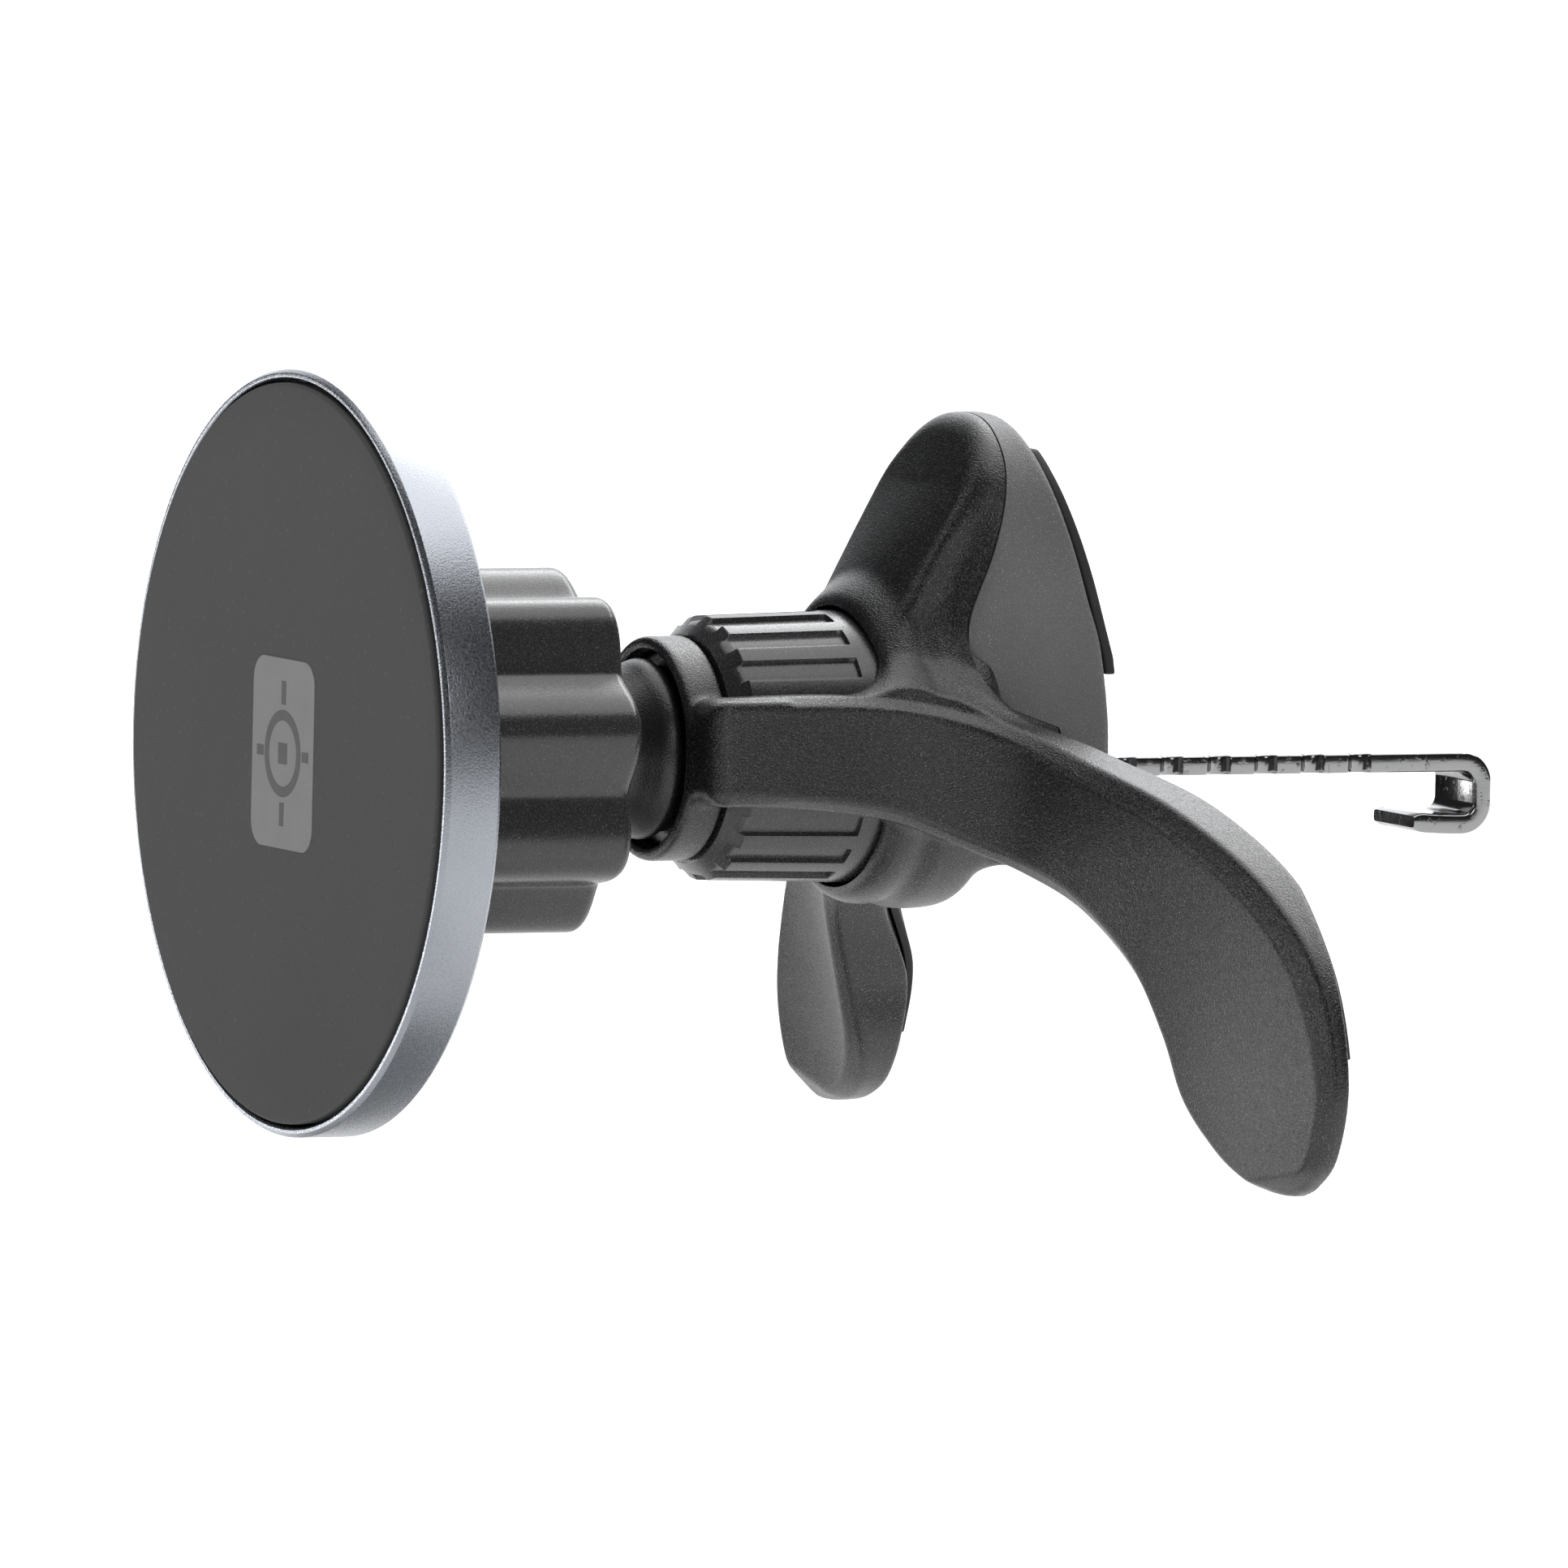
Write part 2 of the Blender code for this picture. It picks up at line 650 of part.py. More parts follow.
def make_rear_shell(middle, cavity):
    shell = copied(middle, "rear_shell", BODY_PLASTIC)
    combine(shell, seam_side("before_seam", GAP / 2, 20 * MM))
    combine(shell, cavity)
    combine(shell, rod("rear_boss", SHELL_SCREWS[0][0], 57.5 * MM, 59.5 * MM, 2.7 * MM, 16), "UNION")
    combine(shell, rod("rear_hollow", (0, 0), 50 * MM, 58.3 * MM, HUB_BORE, AROUND))
    window = (STRIP_HALF + 1.6 * MM, 2.3 * MM)
    low = (-window[0], 50 * MM, STRIP_Z - window[1])
    high = (window[0], 70 * MM, STRIP_Z + window[1])
    combine(shell, box("guide_window", low, high))
    for index, (place, head_y, _) in enumerate(SHELL_SCREWS):
        combine(shell, rod(f"rear_hole_{index}", place, 45 * MM, 70 * MM, 1.1 * MM))
        combine(shell, rod(f"rear_recess_{index}", place, head_y, 70 * MM, 1.9 * MM, 16))
    return shell


def make_shell_screws():
    for index, (place, head_y, tip_y) in enumerate(SHELL_SCREWS):
        name = f"shell_screw_{index + 1}"
        screw(name, place, head_y + 1.4 * MM, tip_y, 1.7 * MM, 0.8 * MM, 1.2 * MM)


def make_hook_guide():
    half = (STRIP_HALF + 1.4 * MM, 2.1 * MM)
    low = (-half[0], 59.0 * MM, STRIP_Z - half[1])
    high = (half[0], 65.0 * MM, STRIP_Z + half[1])
    guide = box("hook_guide", low, high, HIDDEN_PLASTIC)
    low = (-half[0] - 1.0 * MM, 64.9 * MM, STRIP_Z - half[1] - 0.9 * MM)
    high = (half[0] + 1.0 * MM, 65.7 * MM, STRIP_Z + half[1] + 0.9 * MM)
    combine(guide, box("guide_flange", low, high), "UNION")
    slot = (STRIP_HALF + 0.2 * MM, STRIP_THICK / 2 + 0.2 * MM)
    low = (-slot[0], 50 * MM, STRIP_Z - slot[1])
    high = (slot[0], 70 * MM, STRIP_Z + slot[1])
    return combine(guide, box("guide_slot", low, high))


def make_upper_pad():
    """A rubber sheet that follows the slanted back of the upper leg."""
    near = [(y + GAP / MM, z) for y, z in ((59.66, 21.2), (62.4, 12.3), (63.9, 7.3), (64.1, 5.9))]
    far = [(y + (PAD_THICK - GAP) / MM, z) for y, z in near[::-1]]
    sheet = slab("upper_pad", in_metres(near + far), "X", -LEG_HALF, LEG_HALF, PAD_RUBBER)
    inset = arch(LEG_HALF - PAD_INSET, LEG_TOP - PAD_INSET, 0)
    return combine(sheet, slab("pad_arch", inset, "Y", 40 * MM, 70 * MM), "INTERSECT")


# Hook drive


def make_adjusting_nut():
    profile = [
        (TAIL_BORE, NUT_FRONT),
        (8.9 * MM, NUT_FRONT),
        (NUT_FRONT_R, NUT_FRONT + 1.4 * MM),
        (NUT_R, NUT_BACK),
        (JOURNAL_R, NUT_BACK),
        (JOURNAL_R, 50.9 * MM),
        (5.1 * MM, 50.9 * MM),
        (5.1 * MM, 51.8 * MM),
        (JOURNAL_R, 51.8 * MM),
        (JOURNAL_R, JOURNAL_END),
        (TAIL_BORE, JOURNAL_END),
    ]
    nut = turned("adjusting_nut", profile, NUT_PLASTIC, 40)
    grooves = bmesh.new()
    for index in range(NUT_RIBS):
        turn = Matrix.Rotation(2 * math.pi * (index + 0.5) / NUT_RIBS, 4, "Y")
        made = bmesh.ops.create_cube(grooves, size=1.0)["verts"]
        bmesh.ops.scale(grooves, vec=(2.0 * MM, 11.6 * MM, 1.1 * MM), verts=made)
        bmesh.ops.translate(grooves, vec=(NUT_R - GROOVE_DEPTH + 1.0 * MM, 39.4 * MM, 0), verts=made)
        bmesh.ops.transform(grooves, matrix=turn, verts=made)
    mesh = bpy.data.meshes.new("nut_grooves")
    grooves.to_mesh(mesh)
    grooves.free()
    return combine(nut, add("nut_grooves", mesh))


def make_thrust_washer():
    profile = [(6.2 * MM, 47.6 * MM), (9.8 * MM, 47.6 * MM), (9.8 * MM, 48.2 * MM), (6.2 * MM, 48.2 * MM)]
    return turned("thrust_washer", profile, STEEL, 32)


def make_circlip():
    """An open ring in the groove of the nut's journal."""
    ends = (math.radians(20), math.radians(340))
    turns = [ends[0] + (ends[1] - ends[0]) * i / 20 for i in range(21)]
    outline = [(6.8 * MM * math.cos(t), 6.8 * MM * math.sin(t)) for t in turns]
    outline += [(5.25 * MM * math.cos(t), 5.25 * MM * math.sin(t)) for t in turns[::-1]]
    return slab("circlip", outline, "Y", 51.05 * MM, 51.65 * MM, STEEL)


def hook_outline():
    """Side outline of the strip and its J-shaped end as (y, z), with round outer and inner corners."""
    top = STRIP_Z + STRIP_THICK / 2
    outer = 2.4 * MM
    inner = outer - STRIP_THICK
    bottom = top - HOOK_DROP
    end = STRIP_END
    points = [(STRIP_TAIL, top)]
    for centre_z, first in ((top - outer, 90), (bottom + outer, 0)):
        for i in range(5):
            t = math.radians(first - 90 * i / 4)
            points.append((end - outer + outer * math.cos(t), centre_z + outer * math.sin(t)))
    tip = end - HOOK_LIP
    points += [(tip + 0.9 * MM, bottom), (tip, bottom + 0.5 * MM), (tip, bottom + STRIP_THICK + 0.2 * MM)]
    points += [(tip + 0.8 * MM, bottom + STRIP_THICK)]
    for centre_z, first in ((bottom + outer, -90), (top - outer, 0)):
        for i in range(5):
            t = math.radians(first + 90 * i / 4)
            points.append((end - outer + inner * math.cos(t), centre_z + inner * math.sin(t)))
    return points + [(STRIP_TAIL, top - STRIP_THICK)]


def make_hook():
    hook = slab("hook", hook_outline(), "X", -STRIP_HALF, STRIP_HALF, CHROME)
    notches = bmesh.new()
    for index in range(THREAD_TURNS):
        for side in (-1, 1):
            y = THREAD_START + THREAD_PITCH * (index + (0.5 if side > 0 else 0.0))
            made = bmesh.ops.create_cone(
                notches, cap_ends=True, segments=4, radius1=1.1 * MM, radius2=1.1 * MM, depth=4.0 * MM
            )["verts"]
            bmesh.ops.translate(notches, vec=(side * (STRIP_HALF + 0.5 * MM), y, STRIP_Z), verts=made)
    mesh = bpy.data.meshes.new("hook_thread")
    notches.to_mesh(mesh)
    notches.free()
    return combine(hook, add("hook_thread", mesh))


start()
PAD_RUBBER = plain("pad_rubber", (0.1, 0.1, 0.1), 0.75)
ALUMINIUM = plain("aluminium", (0.72, 0.74, 0.78), 0.32, 1.0)
BODY_PLASTIC = plain("body_plastic", (0.05, 0.05, 0.05), 0.5)
NUT_PLASTIC = plain("nut_plastic", (0.05, 0.05, 0.05), 0.35)
STUD_PLASTIC = plain("stud_plastic", (0.04, 0.04, 0.04), 0.45)
HIDDEN_PLASTIC = plain("hidden_plastic", (0.3, 0.3, 0.31), 0.5)
STEEL = plain("steel", (0.5, 0.5, 0.5), 0.35, 1.0)
NICKEL = plain("nickel", (0.65, 0.63, 0.58), 0.25, 1.0)
CHROME = plain("chrome", (0.75, 0.75, 0.76), 0.12, 1.0)

make_face_pad()
make_bezel_ring()
make_magnets()
make_steel_yoke()
make_magnet_carrier()
make_rear_cover()
make_cover_screws()
make_friction_cup()
make_pressure_ring()
make_clamp_ring()
make_lock_nut()
make_ball_stud()
make_stud_screw()
outside = make_middle()
hollow = make_cavity()
make_front_shell(outside, hollow)
make_rear_shell(outside, hollow)
make_shell_screws()
make_hook_guide()
make_upper_pad()
leg_pad("right_pad", 1, PAD_RUBBER)
leg_pad("left_pad", -1, PAD_RUBBER)
make_adjusting_nut()
make_thrust_washer()
make_circlip()
make_hook()
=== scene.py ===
import math

import bpy
import numpy as np
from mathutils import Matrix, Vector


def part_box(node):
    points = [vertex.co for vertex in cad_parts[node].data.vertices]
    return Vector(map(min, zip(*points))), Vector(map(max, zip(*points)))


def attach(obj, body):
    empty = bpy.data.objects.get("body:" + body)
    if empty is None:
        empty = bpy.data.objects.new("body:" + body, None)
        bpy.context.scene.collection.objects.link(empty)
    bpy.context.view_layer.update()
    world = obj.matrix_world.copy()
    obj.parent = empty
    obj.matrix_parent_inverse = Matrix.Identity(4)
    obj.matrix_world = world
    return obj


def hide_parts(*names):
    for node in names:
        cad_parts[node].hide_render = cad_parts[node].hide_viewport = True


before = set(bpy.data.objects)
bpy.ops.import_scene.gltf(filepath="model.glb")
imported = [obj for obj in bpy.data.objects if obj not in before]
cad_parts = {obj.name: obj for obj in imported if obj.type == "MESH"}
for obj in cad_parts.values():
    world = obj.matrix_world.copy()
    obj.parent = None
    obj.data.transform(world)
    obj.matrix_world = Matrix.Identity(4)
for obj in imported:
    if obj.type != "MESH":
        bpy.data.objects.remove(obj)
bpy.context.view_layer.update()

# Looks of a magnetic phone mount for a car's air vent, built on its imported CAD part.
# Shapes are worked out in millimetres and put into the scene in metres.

import openvdb
from mathutils import Matrix, Vector

MM = 0.001


def low(node):
    """The low corner of a CAD node's box in the frame, in millimetres."""
    return [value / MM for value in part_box(node)[0]]


def high(node):
    """The high corner of the same box."""
    return [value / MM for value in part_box(node)[1]]


# ---------------------------------------------------------------- places, in millimetres

# The pad's face lies back by that much, so that the raised print on it stays inside the part's box
PRINT_HEIGHT = 0.07
# How much further forward than their CAD solids the photograph shows the collar and the adjusting nut
COLLAR_AHEAD = 0.9
NUT_AHEAD = 0.8

BEZEL_R = high("bezel_ring")[0]
BEZEL_BORE = 26.6
BEZEL_FRONT = low("bezel_ring")[1]
BEZEL_BACK = high("bezel_ring")[1]
PAD_R = high("face_pad")[0]
PAD_BACK = high("face_pad")[1]
PAD_FRONT = low("face_pad")[1] + PRINT_HEIGHT
LOCK_FRONT = low("lock_nut")[1]
LOCK_BACK = high("lock_nut")[1]
LOCK_BORE = 10.7
LOCK_MOUTH = 9.3
LOCK_STEP = 23.1
LOBES = 8
LOBE_R = 13.9
VALLEY_R = 11.8
LOBE_TURN = math.radians(11.0)
BALL_Y = 19.4
BALL_R = 8.5
NECK_R = 5.2
STUD_END = high("ball_stud")[1]
TAIL_BORE = 4.45
COLLAR_FRONT = low("front_shell")[1] - COLLAR_AHEAD
COLLAR_BACK = 33.3
COLLAR_R = 8.55
COLLAR_BORE = 7.55
NUT_FRONT = low("adjusting_nut")[1] - NUT_AHEAD
NUT_FLOOR = low("adjusting_nut")[1]
NUT_BACK = 47.4
NUT_RIBS = 20
GROOVE_TURN = math.radians(4.0)
JOURNAL_R = 5.8
JOURNAL_END = high("adjusting_nut")[1]
HUB_R = 12.4
HUB_EDGE = 45.9
HUB_ROUND_END = 55.3
WINDOW_R = 10.75
WEB_FRONT = 48.4
WEB_BACK = 50.7
WEB_BORE = 6.1
HUB_BORE = 7.1
HUB_BORE_END = 58.3
# Recess of a shell screw: distance from the middle, y of its floor, height and radius
SHELL_SCREW = (7.7, 60.4, 3.4, 1.9)
LEG_HALF = 10.0
LEG_BOTTOM = -8.6
ARCH_TOP = 25.4
ARCH_RISE = 13.0
CONTACT_Y = 66.4
PAD_INSET = 1.6
UPPER_INSET = 0.55
UPPER_PAD_RISE = 12.6
UPPER_PAD_BOTTOM = 5.9
PAD_GAP = 0.2
PAD_THICK = 0.9
STRIP_HALF = high("hook")[0]
STRIP_THICK = 1.5
STRIP_TOP = high("hook")[2]
STRIP_TAIL = low("hook")[1]
STRIP_END = high("hook")[1]
HOOK_BOTTOM = low("hook")[2]
HOOK_BEND = 2.4
HOOK_LIP = 6.6
THREAD_LEAD = 4.0
THREAD_LENGTH = 44.0
SEAM_GAP = 0.14

# Side outlines of the upper leg as (y, z): its front face, its back, and the seam between the two shells
SIDE_FRONT = (
    (47.2, -7.0), (47.2, 0.0), (47.2, 7.0), (47.9, 10.0), (50.3, 15.0), (52.9, 20.0), (54.9, 24.0),
    (56.9, 28.0),
)
SIDE_BACK = ((57.6, 28.0), (59.9, 20.6), (62.4, 12.3), (63.9, 7.3), (64.6, -0.7), (63.1, -9.5))
SEAM = (
    (56.5, 26.5), (56.4, 24.0), (56.1, 21.0), (54.6, 15.5), (52.6, 10.2), (52.9, 6.8), (54.6, 4.2), (60.2, 2.0),
)
SEAM_FOOT = ((61.2, -1.0), (61.4, -20.0))
# How far the front face's middle stands out: heights, and the crown at each of them
CROWN = ((11.0, 20.0), (1.6, 0.4))
FACE_HALF = 7.8
# The hub's outside and the stalk's flare as (radius, y), and the bridge from the collar to a strut as (x, y)
HUB_SIDE = (
    (10.9, HUB_EDGE), (11.5, 46.3), (11.95, 47.2), (12.05, 48.2), (11.9, 49.1), (12.15, 49.9), (HUB_R, 50.8),
    (HUB_R, 52.8), (12.05, 54.3), (10.9, HUB_ROUND_END),
)
FLARE = ((5.22, 26.2), (5.55, 27.2), (6.1, 28.1), (6.65, 28.9), (6.88, 29.6), (6.75, 30.2), (6.3, 30.5))
BRIDGE = ((7.9, 28.9), (12.2, 28.9), (12.2, 37.0), (11.0, 37.0), (11.0, COLLAR_BACK), (7.9, COLLAR_BACK))

# Sections of the right leg from the collar to the tip: upper front edge, lower front edge, direction of the
# thickness in degrees (0 towards the axis, 90 towards the vent) and the thickness at either edge
LEG = (
    ((12.1, 30.9, 4.6), (12.3, 30.9, -3.6), 0, 2.9, 2.9),
    ((12.3, 39.0, 4.8), (12.6, 39.0, -3.9), 0, 3.2, 3.2),
    ((13.0, 45.4, 4.5), (13.1, 45.6, -4.9), 12, 3.4, 3.4),
    ((14.7, 50.2, 3.6), (14.4, 50.6, -7.0), 36, 3.5, 3.5),
    ((17.6, 53.3, 2.3), (16.9, 53.6, -8.6), 58, 4.6, 4.6),
    ((22.4, 55.5, 0.5), (21.8, 55.9, -11.0), 74, 5.0, 5.0),
    ((31.0, 58.6, -2.4), (26.4, 58.1, -15.4), 86, 5.2, 5.2),
    ((39.9, 61.9, -7.6), (28.0, 60.0, -20.7), 90, 4.5, 6.2),
    ((46.2, 63.6, -13.9), (28.6, 61.4, -25.2), 90, 2.8, 4.7),
    ((48.92, 64.2, -21.6), (31.2, 62.8, -28.5), 90, 2.2, 3.5),
    ((47.4, 64.2, -27.4), (34.6, 63.5, -30.2), 90, 2.2, 2.9),
    ((44.3, 64.1, -30.0), (38.2, 63.8, -30.85), 90, 2.4, 2.6),
    ((41.9, 64.0, -30.9), (40.5, 63.9, -30.97), 90, 2.4, 2.5),
)

# ---------------------------------------------------------------- materials


class Nodes:
    """A material under construction, whose textures all read the piece's own coordinates."""

    def __init__(self, name, **values):
        self.material = bpy.data.materials.new(name)
        self.material.use_nodes = True
        self.tree = self.material.node_tree
        self.shader = self.tree.nodes["Principled BSDF"]
        for key, value in values.items():
            self.shader.inputs[key.replace("_", " ")].default_value = value
        self.place = self.tree.nodes.new("ShaderNodeTexCoord").outputs["Object"]

    def node(self, kind, **settings):
        made = self.tree.nodes.new(kind)
        for key, value in settings.items():
            setattr(made, key, value)
        return made

    def link(self, source, target):
        self.tree.links.new(source, target)

    def noise(self, per_mm, detail=2.0, rough=0.5, stretch=None):
        place = self.place
        if stretch:
            mapping = self.node("ShaderNodeMapping")
            mapping.inputs["Scale"].default_value = stretch
            self.link(place, mapping.inputs["Vector"])
            place = mapping.outputs["Vector"]
        texture = self.node("ShaderNodeTexNoise")
        texture.inputs["Scale"].default_value = per_mm / MM
        texture.inputs["Detail"].default_value = detail
        texture.inputs["Roughness"].default_value = rough
        self.link(place, texture.inputs["Vector"])
        return texture.outputs["Fac"]

    def spread(self, source, start, end, first, last):
        """source between start and end becomes first to last."""
        ranged = self.node("ShaderNodeMapRange", clamp=True)
        self.link(source, ranged.inputs["Value"])
        for key, value in zip(("From Min", "From Max", "To Min", "To Max"), (start, end, first, last)):
            ranged.inputs[key].default_value = value
        return ranged.outputs["Result"]

    def sum(self, first, second):
        made = self.node("ShaderNodeMath", operation="ADD")
        for socket, value in zip(made.inputs, (first, second)):
            self.link(value, socket)
        return made.outputs["Value"]

    def blend(self, share, dark, light):
        """A mix of two colours, each of them fixed or the output of a node."""
        made = self.node("ShaderNodeMix", data_type="RGBA")
        self.link(share, made.inputs["Factor"])
        for key, colour in (("A", dark), ("B", light)):
            socket = [s for s in made.inputs if s.name == key and s.type == "RGBA"][0]
            if isinstance(colour, tuple):
                socket.default_value = (*colour, 1.0)
            else:
                self.link(colour, socket)
        return [s for s in made.outputs if s.type == "RGBA"][0]

    def colour(self, source):
        self.link(source, self.shader.inputs["Base Color"])

    def clouds(self, per_mm, dark, light, detail=2.0):
        """Slow shifts of tone between two colours."""
        return self.blend(self.spread(self.noise(per_mm, detail), 0.3, 0.7, 0.0, 1.0), dark, light)

    def roughness(self, source):
        self.link(source, self.shader.inputs["Roughness"])

    def grained(self, grain, smoother, rougher, depth_mm):
        """Roughness and fine bumps that follow one grain."""
        self.roughness(self.spread(grain, 0.3, 0.7, smoother, rougher))
        self.bump(grain, depth_mm)

    def bump(self, height, depth_mm):
        made = self.node("ShaderNodeBump")
        made.inputs["Strength"].default_value = 1.0
        made.inputs["Distance"].default_value = depth_mm * MM
        self.link(height, made.inputs["Height"])
        self.link(made.outputs["Normal"], self.shader.inputs["Normal"])


def grey(level):
    return (level, level, level)


def eroded_plastic(name, level, rough, grain_mm, depth_mm, painted_glint_share):
    """Plastic from a spark-eroded mould: fine bumps, small bright specks of painted glint in the colour, and
    slow shifts of tone.
    """
    made = Nodes(name, IOR=1.68)
    bumps = made.noise(1.0 / grain_mm, 1.0, 0.5)
    cloud = made.noise(0.12, 2.0)
    # Painted glints: where this noise peaks the colour turns light, standing in for glints off the grain's
    # facets
    grain = made.spread(made.noise(12.0, 0.0), 0.69, 0.75, 0.0, painted_glint_share)
    body = made.blend(made.spread(cloud, 0.35, 0.65, 0.0, 1.0), grey(level * 0.94), grey(level * 1.06))
    made.colour(made.blend(grain, body, grey(level * 2 + 0.45)))
    made.grained(bumps, rough - 0.05, rough + 0.07, depth_mm)
    return made.material


def soft_touch():
    """The pad's fine matt rubber."""
    made = Nodes("visual_soft_touch")
    dust = made.spread(made.noise(3.0, 0.0), 0.74, 0.8, 0.0, 0.35)
    body = made.clouds(0.05, grey(0.072), grey(0.079), 3.0)
    made.colour(made.blend(dust, body, grey(0.16)))
    made.grained(made.noise(9.0, 2.0), 0.72, 0.8, 0.006)
    return made.material


def printed_badge():
    """The pale panel printed on the pad."""
    made = Nodes("visual_badge", Roughness=0.6)
    made.colour(made.clouds(0.4, grey(0.245), grey(0.265)))
    made.grained(made.noise(9.0, 2.0), 0.55, 0.65, 0.005)
    return made.material


def printed_mark():
    """The darker mark on that panel."""
    made = Nodes("visual_badge_mark", Roughness=0.7)
    made.colour(made.clouds(0.4, grey(0.115), grey(0.132)))
    made.bump(made.noise(9.0, 2.0), 0.005)
    return made.material


def blasted_aluminium():
    """Bead-blasted and anodised: a clear metal with a sparkling grain."""
    made = Nodes("visual_aluminium", Metallic=1.0)
    made.colour(made.clouds(0.1, (0.39, 0.41, 0.45), (0.45, 0.47, 0.505)))
    made.grained(made.noise(6.5, 2.0, 0.6), 0.22, 0.34, 0.022)
    return made.material


def plated(name, level, rough, wear):
    """Bright plating over pressed steel, with fine drawing marks and a few dull spots."""
    made = Nodes(name, Metallic=1.0)
    marks = made.noise(2.2, 4.0, 0.6, (1.0, 0.12, 1.0))
    spots = made.spread(made.noise(1.6, 3.0), 0.6, 0.72, 0.0, 1.0)
    made.colour(made.blend(spots, grey(level), grey(level * 0.72)))
    drawn = made.spread(marks, 0.3, 0.7, rough, rough + 0.06)
    made.roughness(made.sum(drawn, made.spread(spots, 0.0, 1.0, 0.0, wear)))
    made.bump(made.sum(marks, spots), 0.008)
    return made.material


def rubber_sheet():
    """The black rubber under the feet."""
    made = Nodes("visual_rubber")
    made.colour(made.clouds(0.3, grey(0.030), grey(0.040)))
    made.grained(made.noise(5.0, 3.0), 0.62, 0.75, 0.015)
    return made.material


def plain_inside(name, level):
    """Unseen mouldings: plain satin plastic with a faint mould texture."""
    made = Nodes(name)
    grain = made.noise(4.0, 2.0)
    made.colour(made.blend(grain, grey(level * 0.9), grey(level * 1.1)))
    made.grained(grain, 0.45, 0.6, 0.01)
    return made.material


# Name, grey level, roughness, size and depth of the grain in millimetres, and share of the bright specks, which
# are painted glints
BODY = eroded_plastic("visual_body_plastic", 0.010, 0.28, 0.13, 0.052, 0.4)
# The rear shell's copy of the body plastic is painted much lighter, standing in for the light that falls on its
# side
PANEL_PAINTED_LIGHT = eroded_plastic("visual_panel_painted_light", 0.155, 0.46, 0.13, 0.050, 0.4)
SATIN = eroded_plastic("visual_nut_plastic", 0.036, 0.24, 0.14, 0.012, 0.3)
STALK = eroded_plastic("visual_stud_plastic", 0.008, 0.34, 0.14, 0.03, 0.1)
COVER = eroded_plastic("visual_cover_plastic", 0.026, 0.45, 0.14, 0.035, 0.3)
SOFT = soft_touch()
BADGE = printed_badge()
MARK = printed_mark()
RIM = blasted_aluminium()
CHROME = plated("visual_chrome", 0.38, 0.09, 0.16)
STEEL = plated("visual_steel", 0.52, 0.26, 0.12)
NICKEL = plated("visual_nickel", 0.62, 0.18, 0.1)
RUBBER = rubber_sheet()
HIDDEN = plain_inside("visual_hidden_plastic", 0.09)

# ---------------------------------------------------------------- mesh tools


def mesh_object(name, points, faces, material=None, sharp=35.0):
    """A smooth-shaded mesh from millimetres, its faces turned outward."""
    mesh = bpy.data.meshes.new(name)
    points = np.asarray(points, float) * MM
    mesh.vertices.add(len(points))
    mesh.vertices.foreach_set("co", points.astype(np.float32).ravel())
    sizes = np.array([len(f) for f in faces])
    mesh.loops.add(int(sizes.sum()))
    mesh.polygons.add(len(faces))
    mesh.polygons.foreach_set("loop_start", np.concatenate(([0], np.cumsum(sizes)[:-1])).astype(np.int32))
    mesh.loops.foreach_set("vertex_index", np.concatenate([np.asarray(f) for f in faces]).astype(np.int32))
    mesh.update(calc_edges=True)
    mesh.validate()
    if volume(mesh) < 0:
        mesh.flip_normals()
    if material:
        mesh.materials.append(material)
    mesh.shade_smooth()
    if sharp:
        mesh.set_sharp_from_angle(angle=math.radians(sharp))
    obj = bpy.data.objects.new(name, mesh)
    bpy.context.scene.collection.objects.link(obj)
    return obj


def volume(mesh):
    """The signed volume, which is negative where the faces are turned inward."""
    mesh.calc_loop_triangles()
    corners = np.zeros(len(mesh.loop_triangles) * 3, np.int32)
    mesh.loop_triangles.foreach_get("vertices", corners)
    co = np.zeros(len(mesh.vertices) * 3)
    mesh.vertices.foreach_get("co", co)
    a, b, c = co.reshape(-1, 3)[corners.reshape(-1, 3)].transpose(1, 0, 2)
    return float((a * np.cross(b, c)).sum() / 6)


def lofted(rings, closed=False):
    """Points and faces through rings of equal length, with caps. closed joins the last ring to the first."""
    rings = np.asarray(rings, float)
    count, around = rings.shape[:2]
    rows = count if closed else count - 1
    i, j = np.meshgrid(np.arange(rows), np.arange(around), indexing="ij")
    after, beside = (i + 1) % count, (j + 1) % around
    quads = np.stack((i * around + j, i * around + beside, after * around + beside, after * around + j), -1)
    faces = list(quads.reshape(-1, 4))
    if not closed:
        faces.append(np.arange(around)[::-1])
        faces.append(np.arange(around) + (count - 1) * around)
    return rings.reshape(-1, 3), faces


def filleted(points, radii, steps=5):
    """A closed polygon with an arc of the given radius in each corner."""
    points = [np.asarray(p, float) for p in points]
    count, made = len(points), []
    radii = [radii] * count if isinstance(radii, (int, float)) else radii
    for i, (corner, radius) in enumerate(zip(points, radii)):
        to_last, to_next = points[i - 1] - corner, points[(i + 1) % count] - corner
        room = 0.49 * min(np.linalg.norm(to_last), np.linalg.norm(to_next))
        if radius <= 0 or room < 1e-6:
            made += [corner] * (steps + 1 if radius > 0 else 1)
            continue
        to_last, to_next = to_last / np.linalg.norm(to_last), to_next / np.linalg.norm(to_next)
        half = math.acos(max(-1.0, min(1.0, float(to_last @ to_next)))) / 2
        if half > math.radians(89.5):
            made += [corner] * (steps + 1)
            continue
        trim = min(room, radius / math.tan(half))
        radius = trim * math.tan(half)
        middle = to_last + to_next
        centre = corner + middle / np.linalg.norm(middle) * radius / math.sin(half)
        first, last = corner + to_last * trim - centre, corner + to_next * trim - centre
        angle = math.pi - 2 * half
        for step in range(steps + 1):
            t = step / steps
            turned = (math.sin((1 - t) * angle) * first + math.sin(t * angle) * last) / math.sin(angle)
            made.append(centre + turned)
    return made


def ring_at(y, radii, turns):
    """A ring about the Y axis with its own radius at every turn."""
    return [(r * math.cos(t), y, r * math.sin(t)) for r, t in zip(radii, turns)]


